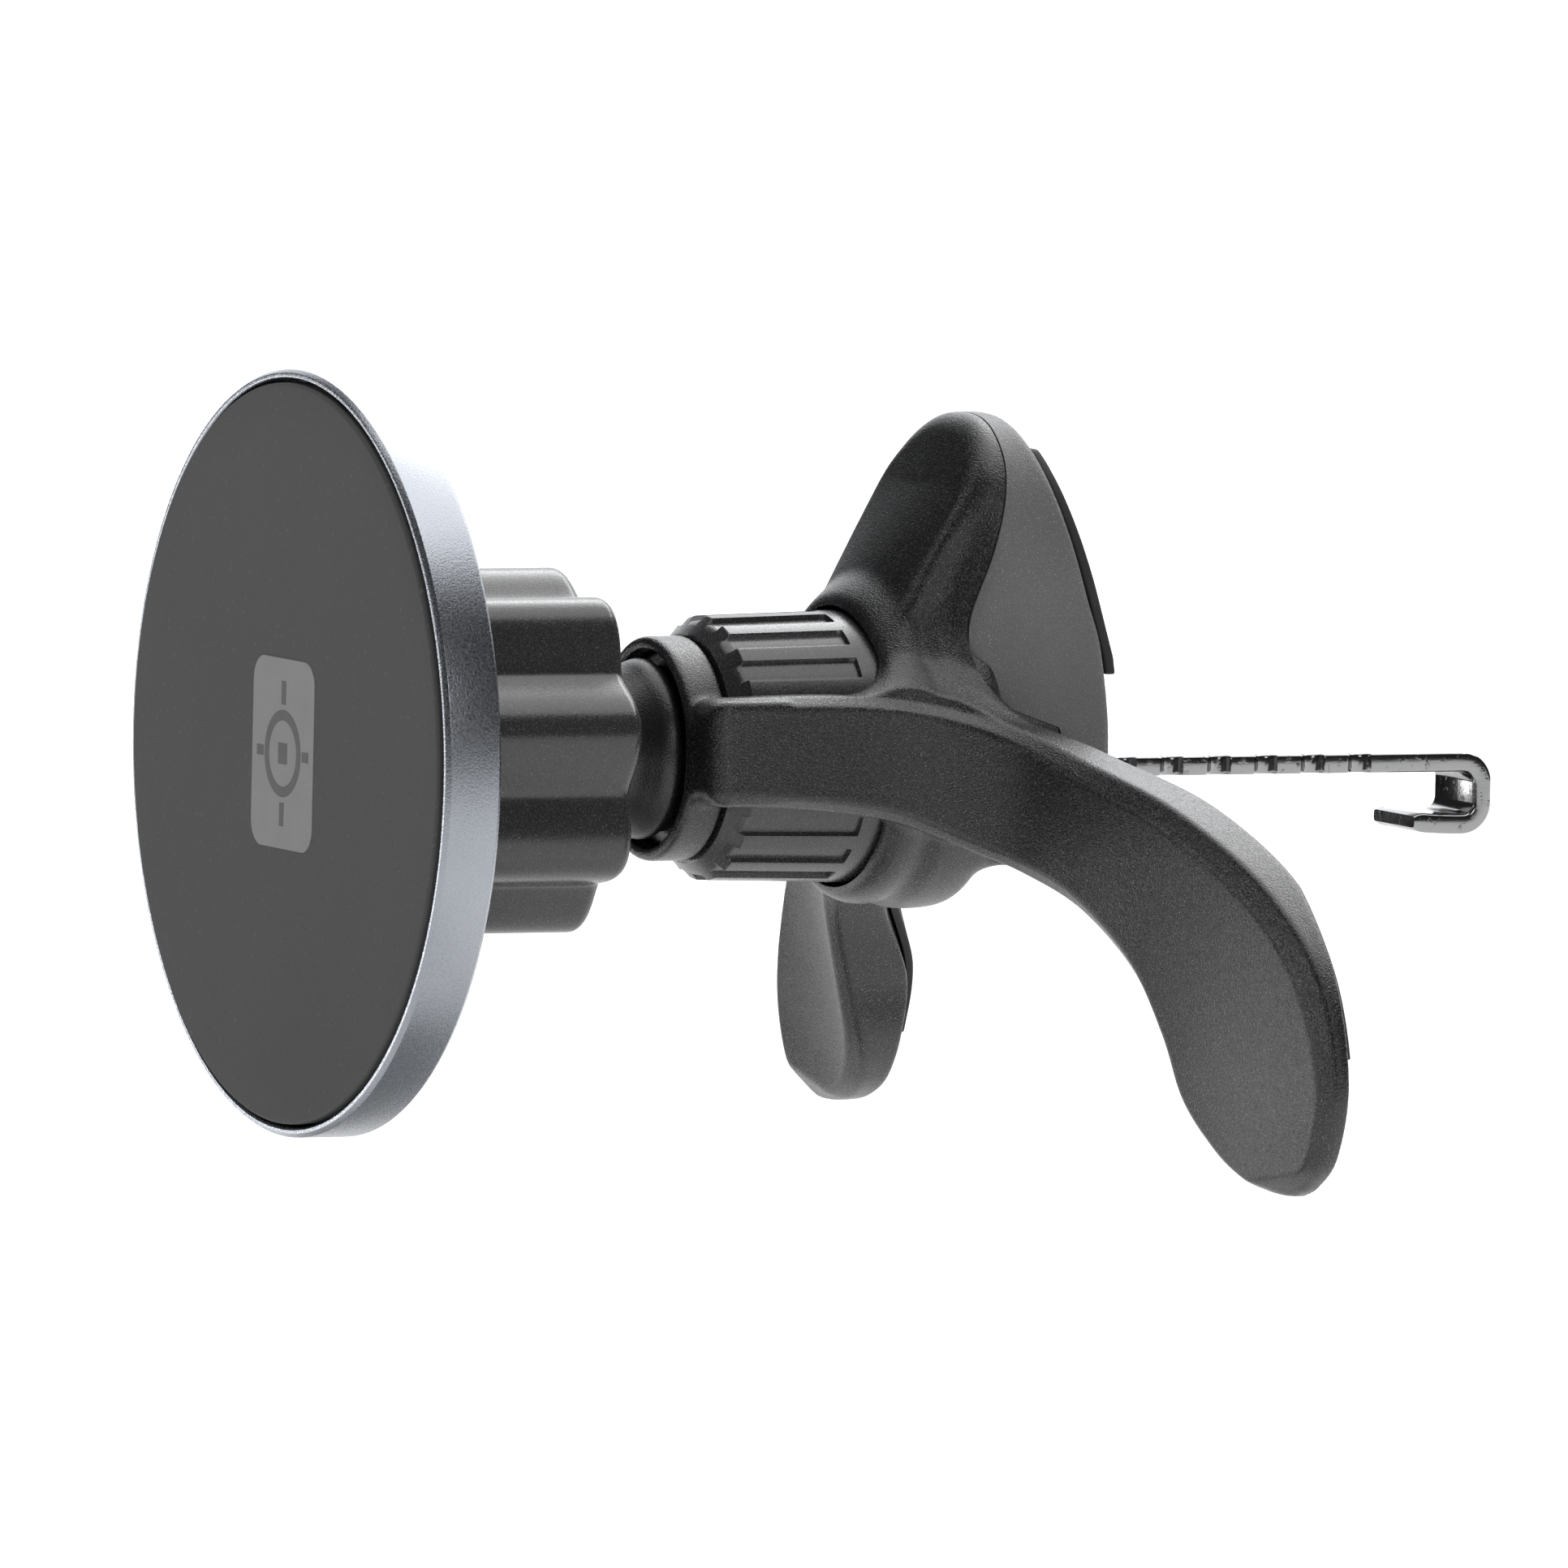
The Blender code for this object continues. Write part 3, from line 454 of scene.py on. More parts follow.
def spun(profile, around=160):
    """A closed profile of (radius, y) turned about the Y axis. Points on the axis become one point each."""
    turns = np.linspace(0, 2 * math.pi, around, endpoint=False)
    points, rows = [], []
    for radius, y in profile:
        on_axis = radius <= 1e-9
        rows.append((len(points), on_axis))
        points += [(0.0, y, 0.0)] if on_axis else ring_at(y, [radius] * around, turns)
    faces = []
    for (start, point), (after, end_point) in zip(rows, rows[1:] + rows[:1]):
        if point and end_point:
            continue
        for j in range(around):
            k = (j + 1) % around
            if point:
                faces.append((start, after + j, after + k))
            elif end_point:
                faces.append((start + j, after, start + k))
            else:
                faces.append((start + j, after + j, after + k, start + k))
    return points, faces


def shown(obj, body, slot, *nodes):
    """Puts a piece on its body, in place of the CAD nodes that it stands for."""
    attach(obj, body)
    if nodes:
        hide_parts(*nodes)


def cut(obj, tool, operation="DIFFERENCE"):
    """Cuts, joins or keeps what is common, at once, and drops the tool."""
    boolean = obj.modifiers.new("cut", "BOOLEAN")
    boolean.operation = operation
    boolean.solver = "MANIFOLD"
    boolean.object = tool
    graph = bpy.context.evaluated_depsgraph_get()
    mesh = bpy.data.meshes.new_from_object(obj.evaluated_get(graph))
    obj.modifiers.clear()
    obj.data = mesh
    bpy.data.objects.remove(tool)


def painted(obj, material):
    """Leaves a cut mesh with one material."""
    obj.data.materials.clear()
    obj.data.materials.append(material)


def block(low_corner, high_corner):
    """A box as a tool."""
    corners = [(x, y, z) for x in (0, 1) for y in (0, 1) for z in (0, 1)]
    size = np.subtract(high_corner, low_corner)
    points = [np.add(low_corner, size * c) for c in corners]
    faces = [(0, 1, 3, 2), (4, 6, 7, 5), (0, 4, 5, 1), (2, 3, 7, 6), (0, 2, 6, 4), (1, 5, 7, 3)]
    return mesh_object("tool", points, faces)


WALL_HALF = 60.0


def wall(outline):
    """A (y, z) outline drawn out along X to either side of the whole body, as a tool."""
    rings = [[(x, y, z) for y, z in outline] for x in (-WALL_HALF, WALL_HALF)]
    return mesh_object("tool", *lofted(rings))


# ---------------------------------------------------------------- distance fields

CELL = 0.2
LEG_BAND = 4.4


def between(before, a, b, after, t):
    """The point that a Catmull-Rom line reaches when it has done the share t of its way from a to b."""
    return 0.5 * (
        2 * a + (b - before) * t + (2 * before - 5 * a + 4 * b - after) * t**2
        + (3 * a - before - 3 * b + after) * t**3
    )


def smooth_line(points, steps=8):
    """A Catmull-Rom line through all the points."""
    points = [np.asarray(p, float) for p in points]
    padded = [2 * points[0] - points[1], *points, 2 * points[-1] - points[-2]]
    made = []
    for four in zip(padded, padded[1:], padded[2:], padded[3:]):
        made += [between(*four, step / steps) for step in range(steps)]
    return made + [points[-1]]


def flat_distance(outline, across, along):
    """Signed distance to a closed outline over a grid of two axes, negative inside."""
    a, b = np.meshgrid(across, along, indexing="ij")
    nearest = np.full(a.shape, 1e9)
    inside = np.zeros(a.shape, bool)
    outline = np.asarray(outline, float)
    for (x1, y1), (x2, y2) in zip(outline, np.roll(outline, -1, 0)):
        dx, dy = x2 - x1, y2 - y1
        length = dx * dx + dy * dy
        if length < 1e-12:
            continue
        t = np.clip(((a - x1) * dx + (b - y1) * dy) / length, 0, 1)
        nearest = np.minimum(nearest, (a - x1 - t * dx) ** 2 + (b - y1 - t * dy) ** 2)
        if y1 != y2:
            crosses = ((y1 > b) != (y2 > b)) & (a < dx * (b - y1) / dy + x1)
            inside ^= crosses
    distance = np.sqrt(nearest)
    return np.where(inside, -distance, distance)


class Field:
    """Signed distances over the half of space with x from 0 up, which its mirror completes."""

    def __init__(self, low_corner, high_corner, cell=CELL):
        self.cell = cell
        self.low = np.array([0.0, low_corner[1], low_corner[2]])
        self.x = np.arange(0, high_corner[0] + cell, cell)
        self.y = np.arange(low_corner[1], high_corner[1] + cell, cell)
        self.z = np.arange(low_corner[2], high_corner[2] + cell, cell)
        self.shape = (len(self.x), len(self.y), len(self.z))

    def facing(self, outline, axis):
        """A flat outline drawn out along one axis, as (y, z), (x, z) or (x, y) for X, Y or Z."""
        drawn = "XYZ".index(axis)
        lines = [line for i, line in enumerate((self.x, self.y, self.z)) if i != drawn]
        return np.expand_dims(flat_distance(outline, *lines), drawn).astype(np.float32)

    def turned(self, profile):
        """A closed profile of (radius, y) turned about the Y axis."""
        step = 0.05
        reach = math.hypot(self.x[-1], max(abs(self.z[0]), abs(self.z[-1])))
        table = flat_distance(profile, np.arange(0, reach + 2 * step, step), self.y)
        radius = np.hypot(self.x[:, None], self.z[None]) / step
        index = radius.astype(int)
        share = (radius - index)[..., None]
        found = table[index] * (1 - share) + table[index + 1] * share
        return found.transpose(0, 2, 1).astype(np.float32)

    def solid(self, points, faces):
        """A closed mesh, exact within a band on either side of its surface."""
        cells = (np.asarray(points, float) - self.low) / self.cell
        quads = np.array([f for f in faces if len(f) == 4], np.uint32)
        fans = [(f[0], f[k], f[k + 1]) for f in faces if len(f) > 4 for k in range(1, len(f) - 1)]
        grid = openvdb.FloatGrid.createLevelSetFromPolygons(
            cells.astype(np.float32), triangles=np.array(fans, np.uint32), quads=quads,
            halfWidth=LEG_BAND / self.cell,
        )
        made = np.zeros(self.shape, np.float32)
        grid.copyToArray(made)
        return made * self.cell

    def mesh(self, values, name, material=None):
        """The surface where the values are zero, after a slight softening of every edge."""
        values = np.concatenate((values[:0:-1], values))
        for axis in range(3):
            ahead, behind = np.roll(values, -1, axis), np.roll(values, 1, axis)
            values = 0.5 * values + 0.25 * (ahead + behind)
        limit = 3 * self.cell
        grid = openvdb.FloatGrid(limit)
        grid.copyFromArray(np.clip(values, -limit, limit).astype(np.float32))
        points, quads = grid.convertToQuads(0.0)
        shift = np.array([-(len(self.x) - 1) * self.cell, self.low[1], self.low[2]])
        return mesh_object(name, points * self.cell + shift, quads, material, sharp=None)


def round_union(a, b, radius):
    """Both solids with a fillet of that radius where they meet."""
    near = np.sqrt(np.maximum(radius - a, 0) ** 2 + np.maximum(radius - b, 0) ** 2)
    return np.maximum(radius, np.minimum(a, b)) - near


def round_common(a, b, radius):
    """What two solids share, with its edges rounded to that radius."""
    near = np.sqrt(np.maximum(radius + a, 0) ** 2 + np.maximum(radius + b, 0) ** 2)
    return np.minimum(-radius, np.maximum(a, b)) + near


# ---------------------------------------------------------------- body


def leg_sections(first, last, steps):
    """Front edges, direction of the thickness and thicknesses between two rows of LEG."""
    made = []
    for index in range(first, last):
        four = [LEG[min(max(index + k, 0), len(LEG) - 1)] for k in (-1, 0, 1, 2)]
        for step in range(steps + (index == last - 1)):
            upper, lower, turn, *thick = (
                between(*(np.asarray(row[column], float) for row in four), step / steps)
                for column in range(5)
            )
            turn = math.radians(float(turn))
            room = [(CONTACT_Y - edge[1]) / max(math.sin(turn), 0.05) for edge in (upper, lower)]
            thick = [min(float(value), space) for value, space in zip(thick, room)]
            made.append((upper, lower, turn, *thick))
    return made


def thickness_way(turn):
    return np.array([-math.cos(turn), math.sin(turn), 0.0])


LEG_BEVEL = 1.5
EDGE_ROUNDS = (0.45, 0.3, 0.3, 0.45, 0.4, 0.4)
# The first section is repeated that much further forward, where the strut's front is cut to the collar
FRONT_SPARE = 2.8
# The envelope around a leg, which keeps the fillets off its front: reach past each edge, fall there, depth
ENVELOPE_ASIDE = 8.0
ENVELOPE_FALL = 1.6
ENVELOPE_DEPTH = 25.0


def leg_rings(steps=9):
    """Rounded sections down the whole leg, and its envelope's. The front is bevelled, round the tip as well."""
    rings, bounds = [], []
    sections = leg_sections(0, len(LEG) - 1, steps)
    upper, lower, turn, *thick = sections[0]
    ahead = np.array([0, FRONT_SPARE, 0])
    sections.insert(0, (upper - ahead, lower - ahead, turn, *thick))
    tip = (sections[-1][0] + sections[-1][1]) / 2
    for upper, lower, turn, upper_thick, lower_thick in sections:
        across = (lower - upper) / np.linalg.norm(lower - upper)
        back = thickness_way(turn)
        wide = min(LEG_BEVEL - 0.7 * max(0.0, math.cos(turn)), 0.36 * np.linalg.norm(lower - upper))
        deep = min(LEG_BEVEL * 0.75, 0.5 * min(upper_thick, lower_thick))
        left = np.linalg.norm((upper + lower) / 2 - tip)
        sink = deep * max(0.0, 1 - left / LEG_BEVEL)
        corners = [
            upper + back * deep,
            upper + across * wide + back * sink,
            lower - across * wide + back * sink,
            lower + back * deep,
            lower + back * lower_thick,
            upper + back * upper_thick,
        ]
        rings.append(filleted(corners, EDGE_ROUNDS, 4))
        aside = across * ENVELOPE_ASIDE
        bounds.append([
            upper - aside + back * (deep + ENVELOPE_FALL),
            upper + back * deep,
            upper + across * wide,
            lower - across * wide,
            lower + back * deep,
            lower + aside + back * (deep + ENVELOPE_FALL),
            lower + aside + back * ENVELOPE_DEPTH,
            upper - aside + back * ENVELOPE_DEPTH,
        ])
    return rings, bounds


def arch(inset, rise, bottom):
    """The upper leg's outline from the front as (x, z), drawn in by inset: straight sides, round top."""
    half, top = LEG_HALF - inset, ARCH_TOP - 2 * inset
    shoulder = top - rise
    turns = [math.radians(t) for t in range(3, 90, 3)]
    curve = [(half * math.cos(t) ** 0.8, shoulder + rise * math.sin(t) ** 0.95) for t in turns]
    left = [(-half, bottom), (-half, shoulder)] + [(-x, z) for x, z in curve]
    return left + [(0.0, top)] + curve[::-1] + [(half, shoulder), (half, bottom)]


def depth_along(line, z):
    """The y of a side outline at each height."""
    return np.interp(z, [p[1] for p in line], [p[0] for p in line])[None, None]


def upper_leg(space):
    """The upper leg and the block below it: an arch from the front, cut by the side outline.
    A slightly hollow flank leads from each edge of the narrower front face to the seam."""
    x, y = space.x[:, None, None], space.y[None, :, None]
    front = smooth_line(SIDE_FRONT)
    # The side outline starts ahead of the front face, which the crowned face cuts back
    side = [(56.0, -9.5)] + [(y - 2.5, z) for y, z in front] + smooth_line(SIDE_BACK)
    across = space.facing(arch(0.0, ARCH_RISE, LEG_BOTTOM), "Y")
    along = space.facing(side, "X")
    face_y = depth_along(front, space.z)
    crown = np.interp(space.z, *CROWN)[None, None] * np.clip(1 - (x / FACE_HALF) ** 2, 0, 1)
    lean = np.gradient(face_y[0, 0], CELL)[None, None]
    face = ((face_y - crown - y) / np.hypot(1, lean)).astype(np.float32)
    # The arch's edge is rounder at the front (1.6) than at the back (0.5)
    edge = np.clip((58.0 - y) / 4, 0, 1) * 1.1 + 0.5
    middle = round_common(across, np.maximum(along, face), edge.astype(np.float32))
    span = depth_along(smooth_line(SEAM)[::-1], space.z) - face_y + 0.8
    rise = LEG_HALF + 0.3 - FACE_HALF
    along_flank = np.clip((y - face_y) / span, 0, 1)
    hollow = 0.75 * np.sin(np.pi * along_flank) * np.clip((21.0 - space.z) / 6, 0, 1)[None, None]
    flank = ((x - FACE_HALF) * span - (y - face_y) * rise) / np.hypot(span, rise) + hollow
    return round_common(middle, flank.astype(np.float32), 0.9)


def body_meshes():
    """The front body, its hub, collar and legs without the wide fillets, the rear shell's block, and that block
    swollen by the seam's gap."""
    space = Field((0, 27.6, -32.2), (50.2, 68.2, 25.8))
    y, z = space.y[None, :, None], space.z[None, None]
    middle = upper_leg(space)
    hub_side = [tuple(p) for p in smooth_line(HUB_SIDE, 5)]
    hub = space.turned([(0, HUB_EDGE)] + hub_side + [(0, HUB_ROUND_END)])
    rings, bounds = leg_rings()
    leg = space.solid(*lofted(rings))
    envelope = space.solid(*lofted(bounds))
    collar = [(COLLAR_BORE, COLLAR_FRONT), (COLLAR_R, COLLAR_FRONT)]
    collar += [(COLLAR_R, COLLAR_BACK), (COLLAR_BORE, COLLAR_BACK)]
    collar = space.turned(filleted(collar, (0.2, 0.8, 0.2, 0), 6))
    tall = (np.abs(z - 0.5) - 4.05).astype(np.float32)
    bridge = round_common(space.facing(BRIDGE, "Z"), tall, 0.7)
    arms = round_common(np.minimum(leg, bridge), (COLLAR_FRONT - y).astype(np.float32), 1.8)
    # The fillet between the trunk and the legs is 1.0 low down and 3.8 high up
    sweep = 1.0 + 2.8 * np.clip((z + 3) / 5, 0, 1).astype(np.float32)
    trunk = round_union(middle, hub, 1.6)
    front = np.minimum(np.minimum(trunk, arms), np.maximum(round_union(trunk, arms, sweep), envelope))
    ring = round_union(collar, arms, 1.1)
    return (
        space.mesh(np.minimum(front, ring), "front_body"),
        space.mesh(np.minimum(hub, ring), "front_crisp"),
        space.mesh(middle, "rear_body"),
        space.mesh(middle - SEAM_GAP, "tool"),
    )


def build_body():
    whole, crisp, rear, swollen = body_meshes()

    # Along the seam the two shells part, with a gap between them
    seam = [tuple(p) for p in smooth_line(SEAM)] + list(SEAM_FOOT)
    behind = seam + [(80.0, -20.0), (80.0, 26.5)]
    ahead = [(y + SEAM_GAP, z) for y, z in seam] + [(20.0, -20.0), (20.0, 26.5)]
    cut(whole, wall(behind))
    cut(swollen, wall(ahead))
    cut(crisp, swollen)
    cut(whole, crisp, "UNION")
    cut(rear, wall(ahead))

    bore = [
        (0, COLLAR_BACK + 0.05), (WINDOW_R, COLLAR_BACK + 0.05), (WINDOW_R, WEB_FRONT), (WEB_BORE, WEB_FRONT),
        (WEB_BORE, WEB_BACK), (HUB_BORE, WEB_BACK), (HUB_BORE, HUB_BORE_END), (0, HUB_BORE_END),
    ]
    cut(whole, mesh_object("tool", *spun(bore)))
    rear_bore = [(0, 50.0), (HUB_BORE, 50.0), (HUB_BORE, HUB_BORE_END), (0, HUB_BORE_END)]
    cut(rear, mesh_object("tool", *spun(rear_bore)))
    # The slot for the hook's guide, and the recesses of the two screws beside it
    slot_z = (low("hook_guide")[2] + high("hook_guide")[2]) / 2
    cut(rear, block((-5.1, 50, slot_z - 2.3), (5.1, 70, slot_z + 2.3)))
    aside, floor_y, screw_z, radius = SHELL_SCREW
    for x in (-aside, aside):
        profile = [(0, floor_y), (radius, floor_y), (radius, 70), (0, 70)]
        recess = mesh_object("tool", *spun(profile, 32))
        recess.data.transform(Matrix.Translation((x * MM, 0, screw_z * MM)))
        cut(rear, recess)
    # The rear shell takes the lighter copy of the body plastic, whose colour holds painted light
    for obj, material, node in ((whole, BODY, "front_shell"), (rear, PANEL_PAINTED_LIGHT, "rear_shell")):
        painted(obj, material)
        obj.data.shade_smooth()
        obj.data.set_sharp_from_angle(angle=math.radians(38))
        shown(obj, "stand", "body_plastic", node)


# The rows of LEG that a foot's pad runs between, and a point (x, z) and the slant of the line that ends it
PAD_ROWS = (5, 9)
PAD_END = (39.9, -22.1)
PAD_END_TURN = math.radians(16.0)


def build_leg_pads():
    for side, node in ((1, "right_pad"), (-1, "left_pad")):
        rings = []
        for upper, lower, turn, upper_thick, lower_thick in leg_sections(*PAD_ROWS, 12):
            back = thickness_way(turn)
            behind = [upper + back * upper_thick, lower + back * lower_thick]
            share = PAD_INSET / np.linalg.norm(behind[1] - behind[0])
            edges = [behind[0] * (1 - t) + behind[1] * t for t in (share, 1 - share)]
            near = [point + back * PAD_GAP for point in edges]
            far = [point + back * PAD_THICK for point in edges]
            rings.append(filleted([near[0], near[1], far[1], far[0]], (0.08, 0.08, 0.3, 0.3), 4))
        rings = np.array(rings)
        rings[..., 0] *= side
        pad = mesh_object(f"foot_{'right' if side > 0 else 'left'}", *lofted(rings))
        tool = block((-30, 60, -20), (30, 70, 0))
        turn = Matrix.Rotation(-side * PAD_END_TURN, 4, "Y")
        tool.matrix_world = Matrix.Translation((side * PAD_END[0] * MM, 0, PAD_END[1] * MM)) @ turn
        bpy.context.view_layer.update()
        cut(pad, tool)
        painted(pad, RUBBER)
        shown(pad, "stand", "pad_rubber", node)


def build_upper_pad():
    space = Field((0, 58.5, 4.0), (11.0, 66.5, 24.0), 0.1)
    line = [(59.2, 22.9), (59.66, 21.2), (62.4, 12.3), (63.9, 7.3), (64.1, UPPER_PAD_BOTTOM)]
    near = [(y + PAD_GAP, z) for y, z in line]
    far = [(y + PAD_THICK + 0.2, z) for y, z in line[::-1]]
    front = space.facing(arch(UPPER_INSET, UPPER_PAD_RISE, UPPER_PAD_BOTTOM), "Y")
    pad = space.mesh(round_common(front, space.facing(near + far, "X"), 0.22), "foot_upper", RUBBER)
    shown(pad, "stand", "pad_rubber", "upper_pad")


# ---------------------------------------------------------------- head


def build_plate():
    pad = [(0, PAD_FRONT), (PAD_R, PAD_FRONT), (PAD_R, PAD_BACK), (0, PAD_BACK)]
    pad = filleted(pad, (0, 0.28, 0.05, 0), 6)
    inner = [(r, PAD_FRONT) for r in (5.0, 10.0, 15.0, 20.0, 25.0)]
    obj = mesh_object("pad_face", *spun([pad[0]] + inner + pad[1:], 256), SOFT)
    shown(obj, "plate", "pad_rubber", "face_pad")
    bezel = filleted([
        (28.3, BEZEL_FRONT + 0.12), (28.42, BEZEL_FRONT), (28.72, BEZEL_FRONT), (BEZEL_R, 0.78),
        (BEZEL_R, BEZEL_BACK - 0.3), (28.7, BEZEL_BACK), (BEZEL_BORE, BEZEL_BACK), (BEZEL_BORE, 4.3),
        (28.25, 4.3), (28.25, 1.0),
    ], (0.05, 0.06, 0.08, 0.12, 0.15, 0.15, 0.1, 0, 0, 0), 4)
    obj = mesh_object("rim", *spun(bezel, 320), RIM)
    shown(obj, "plate", "aluminium", "bezel_ring")


BADGE_HALF = (5.6, 7.2)
BADGE_CORNER = 1.9
# Heights above the pad: where the panel's bevel starts, the panel, the mark's back in it and the mark's front
BADGE_BEVEL, BADGE_TOP, MARK_BACK, MARK_TOP = 0.02, 0.05, 0.04, 0.065
MARK_RADII = (2.5, 3.3)
# The mark's ticks and its middle: x, z, half width and half height
TICKS = ((0, 4.6, 0.4, 0.9), (0, -4.6, 0.4, 0.9), (4.1, 0, 0.6, 0.4), (-4.1, 0, 0.6, 0.4), (0, 0, 0.8, 0.8))


def build_badge():
    """A raised print on the pad: a plain rounded panel with a round aiming mark in it."""
    wide, tall = BADGE_HALF
    outline = filleted([(-wide, -tall), (wide, -tall), (wide, tall), (-wide, tall)], BADGE_CORNER, 10)
    inset = 0.03
    shrunk = [(x * (1 - inset / wide), z * (1 - inset / tall)) for x, z in outline]
    stations = ((-0.05, outline), (BADGE_BEVEL, outline), (BADGE_TOP, shrunk))
    rings = [[(x, PAD_FRONT - height, z) for x, z in points] for height, points in stations]
    panel = mesh_object("badge", *lofted(rings), BADGE)
    shown(panel, "plate", "pad_rubber")
    back, front = PAD_FRONT - MARK_BACK, PAD_FRONT - MARK_TOP
    inner, outer = MARK_RADII
    mark = [(inner, back), (inner, front), (outer, front), (outer, back)]
    ring = mesh_object("aiming_mark", *spun(mark, 96), MARK)
    for x, z, half_x, half_z in TICKS:
        cut(ring, block((x - half_x, front, z - half_z), (x + half_x, back, z + half_z)), "UNION")
    painted(ring, MARK)
    shown(ring, "plate", "pad_rubber")


# ---------------------------------------------------------------- lock nut, ball and stalk


def swing(turn):
    """Radius of the lock nut at an angle from its first lobe: broad lobes between narrower valleys."""
    share = 0.5 + 0.5 * math.cos(LOBES * turn)
    return VALLEY_R + (LOBE_R - VALLEY_R) * share**0.8


def build_lock_nut():
    count = LOBES * 40
    turns = [2 * math.pi * i / count for i in range(count)]
    leaned = [t + LOBE_TURN for t in turns]
    # Stations from front to back as (y, inset), rounded at either end
    front_round, rear_round = 0.7, 1.0
    stations = [
        (LOCK_FRONT + front_round * (1 - math.sin(t)), front_round * (1 - math.cos(t)))
        for t in np.linspace(0, math.pi / 2, 7)
    ][::-1]
    stations += [(y, 0.0) for y in np.linspace(LOCK_FRONT + 1.6, LOCK_BACK - 1.8, 8)]
    stations += [
        (LOCK_BACK - rear_round * (1 - math.sin(t)), rear_round * (1 - math.cos(t)))
        for t in np.linspace(0, math.pi / 2, 9)
    ]
    rings = [ring_at(y, [swing(t) - inset for t in turns], leaned) for y, inset in stations]
    inner = filleted([
        (LOCK_MOUTH, LOCK_BACK), (LOCK_MOUTH, LOCK_STEP), (LOCK_BORE, LOCK_STEP), (LOCK_BORE, LOCK_FRONT),
    ], (0.5, 0.1, 0, 0.3), 5)
    rings += [ring_at(y, [radius] * count, leaned) for radius, y in inner]
    obj = mesh_object("lock_ring", *lofted(rings, closed=True), SATIN)
    shown(obj, "lock", "nut_plastic", "lock_nut")


def build_stalk():
    leave = math.asin(NECK_R / BALL_R)
    turns = np.linspace(math.radians(178), leave, 48)
    ball = [(BALL_R * math.sin(t), BALL_Y + BALL_R * math.cos(t)) for t in turns]
    flare = [tuple(p) for p in smooth_line(FLARE, 6)]
    socket, seat, floor_y = 5.9, 28.8, 17.5
    profile = [(0.0, ball[0][1])] + ball + flare + [
        (6.3, 31.5), (7.25, 31.6), (7.25, STUD_END), (socket, STUD_END), (socket, seat), (TAIL_BORE, seat),
        (TAIL_BORE, floor_y), (0.0, floor_y),
    ]
    obj = mesh_object("stalk", *spun(profile), STALK)
    shown(obj, "stand", "stud_plastic", "ball_stud")


# ---------------------------------------------------------------- adjusting nut and hook


# The adjusting nut's radius at its front, at the end of its bevel and at its back, and its grooves' floor
NUT_FRONT_R, NUT_BEVEL_R, NUT_BACK_R = 8.75, 10.1, 10.4
NUT_BEVEL = 1.4
GROOVE_FLOOR, GROOVE_END = 9.68, 44.3
GROOVE_HALF, GROOVE_SLOPE = math.radians(4.3), math.radians(1.5)
NUT_CUP_R = 7.9


def build_adjusting_nut():
    """A knob with flat-topped ribs. Its grooves run out through the front bevel and end short of the back."""
    count = NUT_RIBS * 28
    turns = [2 * math.pi * (i + 0.5) / count for i in range(count)]
    pitch = 2 * math.pi / NUT_RIBS

    def climb(turn):
        """Height of a groove's wall above its floor."""
        off = abs(((turn - GROOVE_TURN) / pitch + 0.5) % 1.0 - 0.5) * pitch
        return max(0.0, 0.8 * (off - GROOVE_HALF) / GROOVE_SLOPE)

    def outer(y):
        bevel = NUT_FRONT + NUT_BEVEL
        if y < bevel:
            return NUT_FRONT_R + (NUT_BEVEL_R - NUT_FRONT_R) * (y - NUT_FRONT) / NUT_BEVEL
        return NUT_BEVEL_R + (NUT_BACK_R - NUT_BEVEL_R) * (y - bevel) / (NUT_BACK - bevel)

    heights = list(NUT_FRONT + np.array([0, 0.05, 0.3, 0.45, 0.5, 0.55, 0.9, 1.3, 1.38, 1.42, 1.5]))
    heights += list(np.linspace(36.4, 43.6, 12))
    heights += [GROOVE_END - 0.12, GROOVE_END, GROOVE_END + 0.05, 44.8, 46.4, NUT_BACK]
    rings = []
    for y in heights:
        top = outer(y)
        floor = min(top, GROOVE_FLOOR + 0.35 * (y - NUT_FRONT) / (NUT_BACK - NUT_FRONT))
        radii = [top if y >= GROOVE_END else min(top, floor + climb(t)) for t in turns]
        rings.append(ring_at(y, radii, turns))
    # The journal with the circlip's groove, then the bore and the cup at the front
    clip_r, clip_front, clip_back = 5.1, 50.9, 51.8
    inner = [
        (JOURNAL_R, NUT_BACK), (JOURNAL_R, clip_front), (clip_r, clip_front), (clip_r, clip_back),
        (JOURNAL_R, clip_back), (JOURNAL_R, JOURNAL_END), (TAIL_BORE, JOURNAL_END), (TAIL_BORE, NUT_FLOOR),
        (NUT_CUP_R, NUT_FLOOR), (NUT_CUP_R, NUT_FRONT),
    ]
    rings += [ring_at(y, [radius] * count, turns) for radius, y in inner]
    obj = mesh_object("adjusting_knob", *lofted(rings, closed=True), SATIN, 40)
    shown(obj, "adjuster", "nut_plastic", "adjusting_nut")


def notch(y):
    """Half widths of the strip on its right and left edge, where a thread leaves a row of round hollows."""
    radius, outside, margin = 1.1, 0.5, 1.2
    widths = []
    for start in (45.0, 43.0):
        offset = (y - start + THREAD_LEAD / 2) % THREAD_LEAD - THREAD_LEAD / 2
        deep = max(0.0, math.sqrt(max(radius**2 - offset**2, 0.0)) - outside)
        inside = start - margin < y < start + THREAD_LENGTH + margin
        widths.append(STRIP_HALF - deep if inside else STRIP_HALF)
    return tuple(widths)


